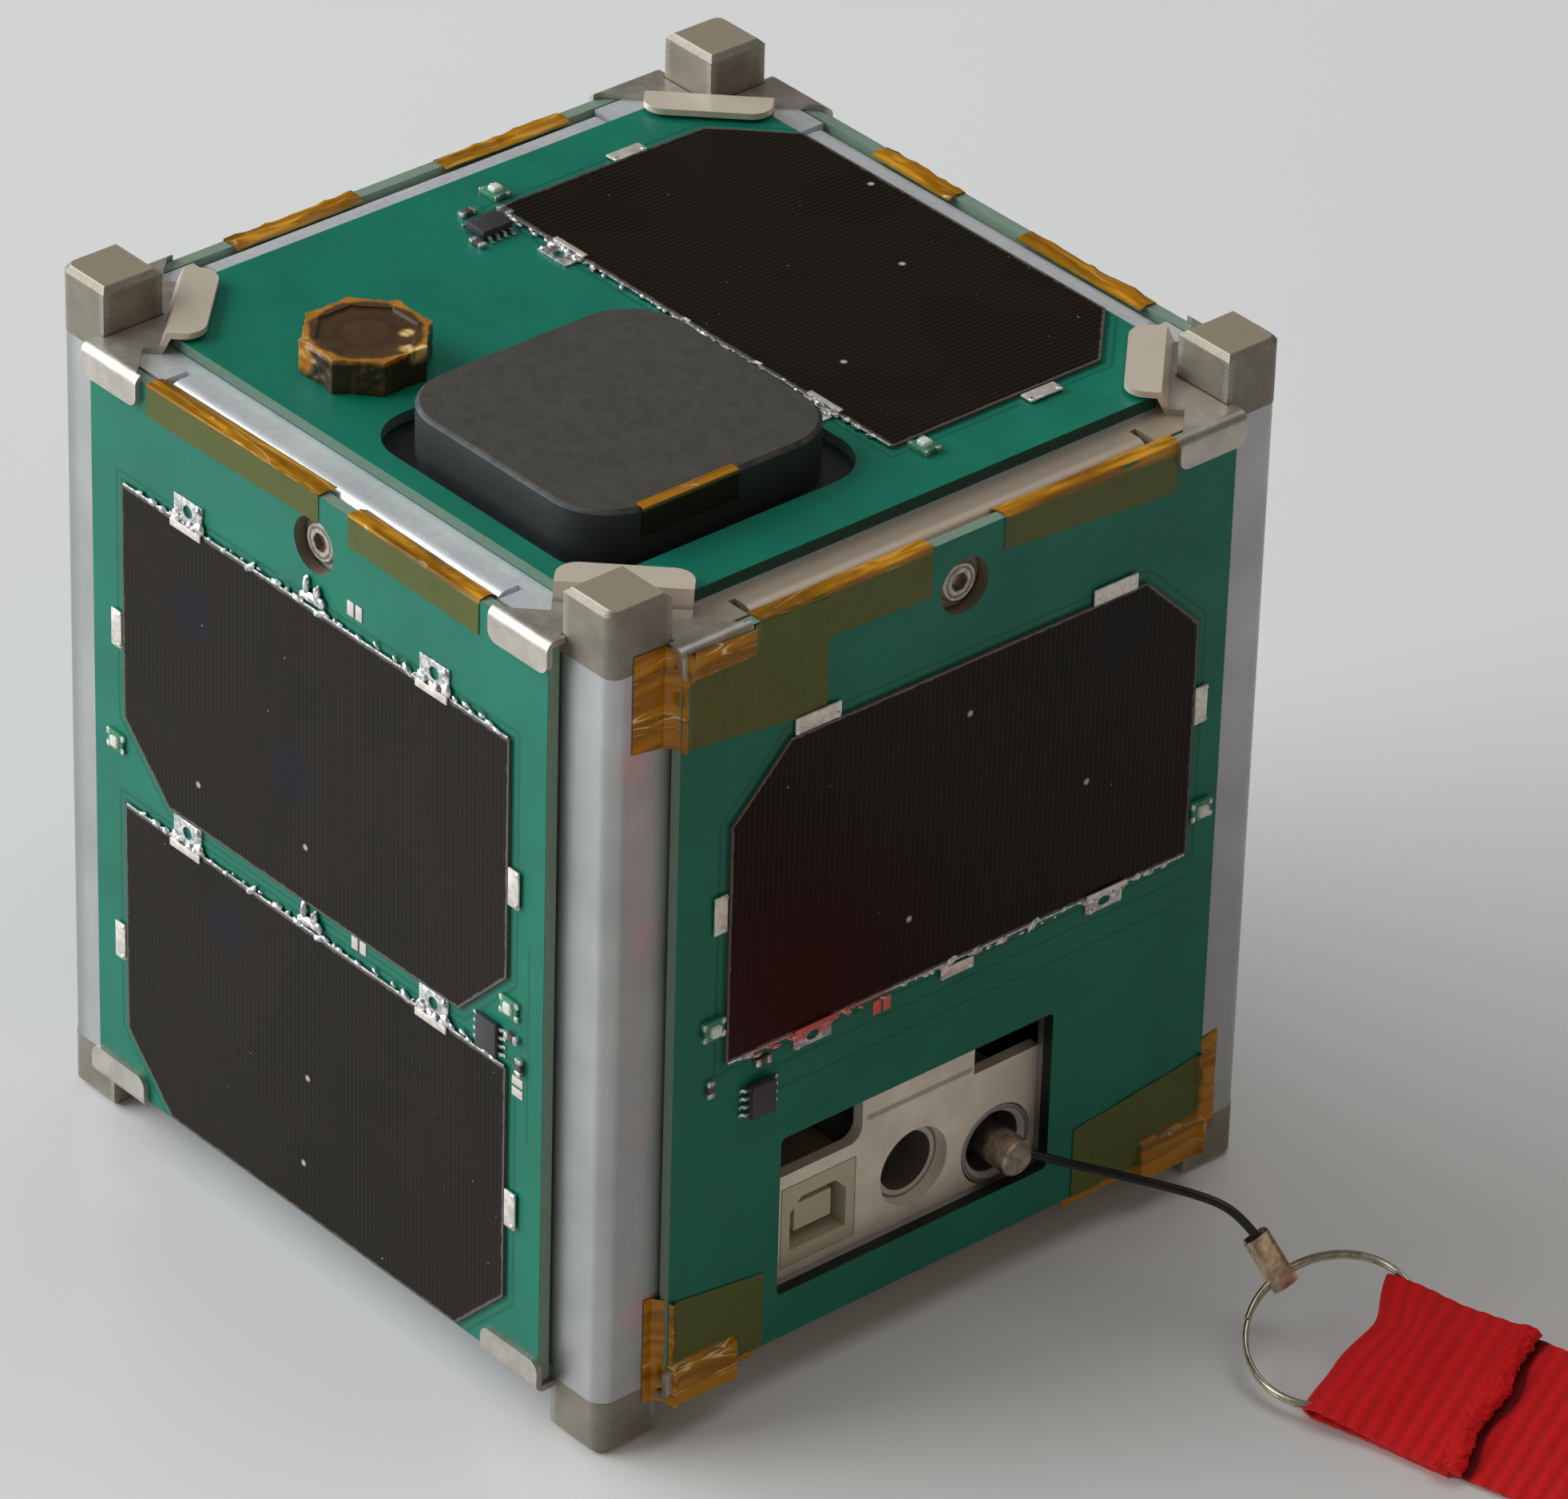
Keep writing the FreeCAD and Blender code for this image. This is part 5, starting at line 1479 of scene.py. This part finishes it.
def draped(y, z, spread=0.9):
    """The ground under a film, smoothed as the film bridges its steps."""
    places = [(0, 0, 2.0), (spread, 0, 1.0), (-spread, 0, 1.0), (0, spread, 1.0), (0, -spread, 1.0)]
    level = sum(ground_under_film(y + dy, z + dz)[0] * weight for dy, dz, weight in places)
    return max(level / sum(weight for _, _, weight in places), ground_under_film(y, z)[0])


class SATELLITE_OT_corner_tapes(PieceMaker, bpy.types.Operator):
    """Lays amber tape over the corner clips of the window's side"""

    bl_idname = "satellite.corner_tapes"
    bl_label = "Corner tapes"

    # Name, left, right, lower edge at the left and right, upper edge at the left and right.
    patches = [
        ("tape_corner_front", -47.0, -20.3, 94.6, 91.2, 107.3, 106.0),
        ("tape_corner_low_front", -43.6, -27.2, 5.2, 4.9, 19.6, 17.4),
        ("tape_corner_low_right", 21.0, 45.8, 4.6, 5.4, 16.6, 19.6),
    ]
    rows = 48

    def execute(self, context):
        for patch in self.patches:
            self.lay(context, *patch)
        return {"FINISHED"}

    def lay(self, context, name, left, right, low_left, low_right, high_left, high_right):
        columns = round((right - left) / FILM_STEP)
        wrinkle = context.scene.satellite_tapes.crease / MM * 1.5

        def shape(column, row):
            share, rise = column / columns, row / self.rows
            y = left + share * (right - left)
            low = low_left + share * (low_right - low_left)
            high = high_left + share * (high_right - high_left)
            z = low + rise * (high - low) + 0.12 * ripple(y, rise * 9, 3.0, 2.2)
            ground, metal = ground_under_film(y, z)
            level = draped(y, z)
            bridging = min((level - ground) * 1.2 + 0.12, 1.0)
            crease = 1.0 - 2.4 * abs(ripple(y * 0.7, z * 0.5, left, 1.3))
            pucker = 1.0 + 0.8 * ripple(z, 4.0, left, 1.6)
            lift = bridging * wrinkle * max(crease, -0.2)
            lift += 0.55 * pucker * math.exp(-(((abs(y) - 41.3) / 0.55) ** 2))
            place = Vector((level + 0.07 + lift, y, z)) * MM
            return place, (y * 0.8, z), self.over_metal(y, z, metal)

        lay_film(context, name, columns, self.rows, shape)

    def over_metal(self, y, z, metal):
        """How far the film here shows amber."""
        if metal:
            return 0.85
        near = smooth_step(abs(y), 40.3, 41.4)
        if abs(y) > CLIP_START:
            near += smooth_step(z, 102.3, 103.1) + 1.0 - smooth_step(z, 10.4, 11.2)
        return 0.7 * min(near, 1.0)


class SATELLITE_OT_cap(PieceMaker, bpy.types.Operator):
    """Wraps the eight-sided cap in creased amber film"""

    bl_idname = "satellite.cap"
    bl_label = "Taped cap"

    # Half the distance between opposite sides, and half the angle of a side in degrees.
    half_wide = 7.1
    half_side = 22.5

    def execute(self, context):
        middle, half_side = Vector(CAP_PLACE) * MM, math.radians(self.half_side)
        cap = primitive(
            "film_wrapped_cap", "cylinder", vertices=8,
            radius=self.half_wide / math.cos(half_side) * MM, depth=CAP_HIGH * MM,
            location=middle, rotation=(0, 0, half_side),
        )
        place_in_mesh()
        top = middle.z + CAP_HIGH / 2 * MM
        with editing(cap):
            pick(cap, "FACE", lambda m: m.z > top - 1e-5)
            bpy.ops.mesh.inset(thickness=0.9 * MM)
            bpy.ops.mesh.inset(thickness=0.6 * MM)
            extrude(0, 0, -0.3)
            bpy.ops.mesh.inset(thickness=1.6 * MM)
            bpy.ops.mesh.select_all(action="SELECT")
            bpy.ops.mesh.subdivide(number_cuts=4)
        put_on(cap, "BEVEL", width=0.35 * MM, segments=3, limit_method="ANGLE", angle_limit=0.5)
        face_out(cap)
        put_on(cap, "SUBSURF", levels=2, render_levels=2, subdivision_type="SIMPLE")
        self.crease(cap, middle)
        finish_piece(cap, "satellite", wrapped_film(), smooth=55.0)
        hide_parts("taped_cap")
        return {"FINISHED"}

    def crease(self, cap, middle):
        """Pulls the film into ridges at the corners and puckers its top edge."""
        for point in cap.data.vertices:
            x, y, z = (point.co - middle) / MM
            angle = math.atan2(y, x)
            ridge = max(0.0, math.cos(8 * (angle - math.radians(self.half_side)))) ** 6
            side = smooth_step(math.hypot(x, y), 5.6, 6.8)
            pucker = 1.0 - 2.5 * abs(ripple(angle * 6.0, z * 0.7, 4.0, 1.0))
            lift = min(side * (0.24 * ridge + 0.18 * pucker), 0.32)
            dent = 0.10 * ripple(x, y, 5.0, 2.2) * (1 - side)
            way = Vector((math.cos(angle), math.sin(angle), 0))
            point.co += way * lift * MM + Vector((0, 0, dent * MM))


def solder_lump(size, seed, place=(0, 0, 0)):
    """A flattened lump of solder on a face that looks along X, size and place in millimetres."""
    lump = primitive("solder_lump", "ico_sphere", subdivisions=3, radius=0.5)
    for point in lump.data.vertices:
        rough = 1.0 + 0.35 * noise.noise(point.co * 3.0 + Vector((seed, 0, 0)))
        point.co = Vector([c * rough * s * MM for c, s in zip(point.co, size)])
    lump.location = Vector(place) * MM
    return lump


class SATELLITE_OT_solder_tabs(PieceMaker, bpy.types.Operator):
    """Solders the tabs of the cells to the boards"""

    bl_idname = "satellite.solder_tabs"
    bl_label = "Solder tabs"

    # Rows of model, across, up, turn and size.
    side_rows = [
        ("tab", -22.9, 91.6), ("tab", 22.0, 91.8), ("tab", -23.5, 47.6), ("tab", 22.3, 47.7),
        ("bar", -36.6, 71.4, 90), ("bar", -36.6, 27.8, 90),
        ("bar", 36.5, 72.4, 90), ("bar", 36.5, 28.7, 90),
        ("blob", 0.1, 93.0), ("blob", -0.4, 48.9),
    ]
    table = {
        **dict.fromkeys(PLAIN_SIDES, side_rows),
        "x_plus": [
            ("bar", -21.7, 90.9, 0, (1.0, 1.35, 1.1)),
            ("bar", 23.2, 90.7, 0, (1.0, 1.35, 1.1)),
            ("bar", -35.4, 70.1, 90),
            ("bar", 37.7, 69.6, 90),
            ("tab", -21.0, 49.3, 180, (1.0, 1.1, 0.7)),
            ("tab", 23.8, 49.4, 180, (1.0, 1.1, 0.7)),
            ("bar", 0.9, 48.1, 0, (1.0, 1.0, 0.8)),
        ],
        "top": [
            ("bar", -36.7, 24.4, 90),
            ("bar", 36.2, 25.4, 90),
            ("tab", -22.7, 3.8, 180, (1.0, 1.0, 0.75)),
            ("tab", 22.9, 3.8, 180, (1.0, 1.0, 0.75)),
        ],
        "bottom": [
            ("tab", -22.7, 3.8, 180, (1.0, 1.0, 0.75)),
            ("tab", 22.9, 3.8, 180, (1.0, 1.0, 0.75)),
            ("tab", -22.7, -3.8, 0, (1.0, 1.0, 0.75)),
            ("tab", 22.9, -3.8, 0, (1.0, 1.0, 0.75)),
        ],
    }

    def execute(self, context):
        settings = context.scene.satellite_boards
        foil, solder = tab_foil(), solder_silver()
        models = {
            "tab": self.make_tab(settings.tab_wide / MM, settings.tab_high / MM, foil, solder),
            "bar": self.make_bar(5.0, 1.9, foil, solder),
            "blob": self.make_blob(solder),
        }
        populate("solder_tabs", models, self.table)
        return {"FINISHED"}

    def make_tab(self, wide, high, foil, solder):
        """A soldered tab with a round hole, a bar over the cell's edge and lumps of solder."""
        plate = block((0.16, 0, high * 0.52), (0.32, wide, high), 0.1)
        drill = primitive(
            "drill", "cylinder", vertices=20, radius=0.85 * MM, depth=2 * MM,
            location=(0, 0, high * 0.55 * MM), rotation=(0, math.pi / 2, 0),
        )
        put_on(plate, "BOOLEAN", object=drill, operation="DIFFERENCE", solver="EXACT")
        discard(drill)
        bar = block((0.68, 0, -0.35), (0.24, wide * 1.08, 1.0), 0.08)
        pieces = [painted(plate, solder), painted(bar, foil)]
        spots = [(-0.42, 0.15, 1.5), (0.42, 0.18, 1.6), (0.10, 0.05, 1.2), (0.40, 0.85, 1.0)]
        for number, (across, up, size) in enumerate(spots):
            place = (0.35, across * wide, up * high)
            lump = solder_lump((0.7, size * 1.1, size), number * 3.7, place)
            pieces.append(painted(lump, solder))
        return joined("solder_tab", pieces)

    def make_bar(self, wide, high, foil, solder):
        """A plain foil tab with a spot of solder at each end."""
        pieces = [painted(block((0.35, 0, 0), (0.3, wide, high), 0.1), foil)]
        for number, across in enumerate((-0.42, 0.42)):
            place = (0.42, across * wide, -0.3 * high)
            lump = solder_lump((0.4, wide * 0.15, high * 0.5), 5.0 + number, place)
            pieces.append(painted(lump, solder))
        return joined("bar_tab", pieces)

    def make_blob(self, solder):
        """A splash of solder with three horns, where two tabs meet in the middle of a cell."""
        shapes = [
            (0.0, 0.0, (0.9, 3.4, 1.3)),
            (-1.0, 1.3, (0.8, 1.0, 2.4)),
            (0.9, 1.0, (0.8, 1.1, 2.0)),
            (1.7, 0.1, (0.7, 1.3, 1.4)),
            (-1.6, -0.3, (0.7, 1.2, 0.9)),
        ]
        lumps = [
            painted(solder_lump(size, 11.0 + number * 2.3, (0.35, across, up)), solder)
            for number, (across, up, size) in enumerate(shapes)
        ]
        return joined("solder_blob", lumps)


class SATELLITE_OT_edge_solder(PieceMaker, bpy.types.Operator):
    """Runs small lumps of solder along the edges of the cells"""

    bl_idname = "satellite.edge_solder"
    bl_label = "Edge solder"

    def execute(self, context):
        run = self.make_run(context.scene.satellite_boards.solder_lumps, solder_silver())
        table = {}
        for face, cells in CELL_ROWS.items():
            table[face] = [
                ("run", centre, high, 0) if cut_low else ("run", centre, low, 180)
                for centre, low, high, cut_low in cells
            ]
        populate("edge_solder", {"run": run}, table)
        return {"FINISHED"}

    def make_run(self, count, solder):
        """A run of uneven lumps along the long edge of one cell."""
        picker = random.Random(17)
        model = solder_lump((0.5, 1.0, 0.7), 2.0)
        put_on(model, "DECIMATE", ratio=0.35)
        lumps = []
        across, step = -33.5, 67.0 / count
        for _ in range(count):
            across += step * picker.uniform(0.6, 1.4)
            if abs(across) > 34.2 or picker.random() < 0.12:
                continue
            size = picker.choice((0.5, 0.7, 0.9, 1.3))
            place = shifted(0.32, across, picker.uniform(0.1, 0.85))
            turn = Matrix.Rotation(picker.uniform(-0.7, 0.7), 4, "X")
            shape = Matrix.Diagonal((size, size * picker.uniform(0.8, 1.8), size, 1))
            lumps.append(copy_of(model, place @ turn @ shape))
        discard(model)
        lumps.append(block((0.30, 0, 0.12), (0.16, 70.2, 0.34), 0.04))
        return painted(joined("solder_run", lumps), solder)


class SATELLITE_OT_sensors(PieceMaker, bpy.types.Operator):
    """Mounts the light sensors, white domes on small green blocks"""

    bl_idname = "satellite.sensors"
    bl_label = "Light sensors"

    table = {
        **dict.fromkeys(PLAIN_SIDES, [
            ("sensor", -37.2, 55.5, 0, (0.6, 1.0, 1.0)), ("sensor", 35.8, 56.0, 0, (0.6, 1.0, 1.0)),
        ]),
        "x_plus": [("sensor", -36.1, 55.0), ("sensor", 38.6, 54.8)],
        "top": [("sensor", -38.8, 5.9), ("sensor", 37.1, 6.7)],
    }

    def execute(self, context):
        populate("sensors", {"sensor": self.make_sensor()}, self.table)
        return {"FINISHED"}

    def make_sensor(self):
        """One sensor: a green carrier, silver ends and a white dome."""
        green = plain_part("sensor_carrier", (30, 110, 78), (70, 150, 110), (0.35, 0.55))
        white = plain_part(
            "sensor_dome", (226, 222, 206), (246, 243, 230), (0.18, 0.35), bump=0.1,
            Subsurface_Weight=0.2,
        )
        silver = bpy.data.materials["solder_silver"]
        pieces = [painted(block((0.35, 0, 0), (0.7, 2.9, 2.6), 0.12), green)]
        for across in (-1.35, 1.35):
            for up in (-0.85, 0.85):
                end = block((0.36, across, up), (0.8, 0.6, 0.8), 0.15)
                pieces.append(painted(end, silver))
        dome = block((0.85, 0, 0), (0.9, 1.5, 1.5), 0.35, 4)
        put_on(dome, "SUBSURF", levels=1, render_levels=1)
        return joined("light_sensor", [*pieces, painted(dome, white)])


class SATELLITE_OT_chips(PieceMaker, bpy.types.Operator):
    """Mounts the chips with their pins, and the small parts beside them"""

    bl_idname = "satellite.chips"
    bl_label = "Chips and small parts"

    table = {
        **dict.fromkeys(PLAIN_SIDES, [
            ("chip", 32.2, 50.6, 0, (0.57, 1.0, 1.0)),
            ("small", 36.4, 52.3),
            ("small", 37.8, 49.0, 90),
            ("pads", 7.5, 94.7),
            ("pads", 37.2, 45.8, 90),
            ("pads", 8.4, 50.2),
        ]),
        "x_plus": [
            ("chip", -28.9, 42.9), ("small", -36.3, 46.9, 90), ("small", -28.5, 47.6),
            ("pads", -10.3, 47.5),
        ],
        "top": [
            ("chip", -32.5, -0.2), ("small", -37.0, 0.2, 90), ("small", -34.6, 4.0),
            ("small", -30.6, -3.4),
        ],
    }

    def execute(self, context):
        silver = bpy.data.materials["solder_silver"]
        models = {
            "chip": self.make_chip(silver),
            "small": self.make_small_part(silver),
            "pads": self.make_pads(),
        }
        populate("chips", models, self.table)
        return {"FINISHED"}

    def make_chip(self, silver):
        """A black moulded body with four bent pins on each long side."""
        black = plain_part("chip_black", (38, 37, 38), (62, 60, 62), (0.4, 0.6))
        body = block((0.8, 0, 0), (1.2, 3.6, 4.4), 0.16)
        pin = block((0.55, 2.0, 0), (0.18, 0.6, 0.42))
        with editing(pin):
            pick(pin, "FACE", lambda m: m.y > 2.29 * MM)
            extrude(-0.38, 0.16, 0)
            extrude(0, 0.42, 0)
        painted(pin, silver)
        pins = [
            copy_of(pin, turned(turn, "X") @ shifted(0, 0, (row - 1.5) * 1.1))
            for turn in (0, 180)
            for row in range(4)
        ]
        discard(pin)
        return joined("chip", [painted(body, black), *pins])

    def make_small_part(self, silver):
        """A small resistor: a dark body with silver ends."""
        dark = plain_part("small_part_body", (52, 44, 38), (96, 84, 70), (0.35, 0.55))
        pieces = [painted(block((0.35, 0, 0), (0.6, 1.0, 0.95), 0.06), dark)]
        for across in (-0.8, 0.8):
            end = block((0.34, across, 0), (0.66, 0.7, 1.05), 0.14)
            pieces.append(painted(end, silver))
        return joined("small_part", pieces)

    def make_pads(self):
        """Two bare pads side by side, with thin tin on them."""
        tin = pad_tin()
        pads = [block((0.05, across, 0), (0.12, 1.15, 1.9), 0.03) for across in (-0.75, 0.75)]
        return joined("pads", [painted(pad, tin) for pad in pads])


class SATELLITE_OT_declare_cord(PieceMaker, bpy.types.Operator):
    bl_idname = "satellite.declare_cord"
    bl_label = "Declare cord"

    def execute(self, context):
        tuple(CORD_ROUTE[0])
        return {"FINISHED"}


OPERATORS = [
    SATELLITE_OT_stage,
    SATELLITE_OT_cord,
    SATELLITE_OT_ring,
    SATELLITE_OT_clamp,
    SATELLITE_OT_strap,
    SATELLITE_OT_declare_cord,
    SATELLITE_OT_metalwork,
    SATELLITE_OT_boards,
    SATELLITE_OT_ports,
    SATELLITE_OT_antenna,
    SATELLITE_OT_cap,
    SATELLITE_OT_edge_tapes,
    SATELLITE_OT_corner_tapes,
    SATELLITE_OT_solder_tabs,
    SATELLITE_OT_edge_solder,
    SATELLITE_OT_sensors,
    SATELLITE_OT_chips,
]

SETTINGS = {
    "satellite_stage": StageSettings,
    "satellite_boards": BoardSettings,
    "satellite_tapes": TapeSettings,
    "satellite_lanyard": LanyardSettings,
}


class SATELLITE_PT_pieces(bpy.types.Panel):
    """Lists the pieces of the satellite and their settings"""

    bl_idname = "SATELLITE_PT_pieces"
    bl_label = "Cube satellite"
    bl_space_type = "VIEW_3D"
    bl_region_type = "UI"
    bl_category = "Satellite"

    def draw(self, context):
        column = self.layout.column(align=True)
        for operator in OPERATORS:
            column.operator(operator.bl_idname)
        for name, group in SETTINGS.items():
            box = self.layout.box()
            settings = getattr(context.scene, name)
            for prop in group.__annotations__:
                box.prop(settings, prop)


def register():
    for name, group in SETTINGS.items():
        bpy.utils.register_class(group)
        setattr(bpy.types.Scene, name, PointerProperty(type=group))
    for operator in OPERATORS:
        bpy.utils.register_class(operator)
    bpy.utils.register_class(SATELLITE_PT_pieces)


def unregister():
    bpy.utils.unregister_class(SATELLITE_PT_pieces)
    for operator in reversed(OPERATORS):
        bpy.utils.unregister_class(operator)
    for name, group in SETTINGS.items():
        delattr(bpy.types.Scene, name)
        bpy.utils.unregister_class(group)


def main():
    """Makes every piece in order."""
    register()
    for operator in OPERATORS:
        category, name = operator.bl_idname.split(".")
        getattr(getattr(bpy.ops, category), name)()


if __name__ == "__main__":
    main()
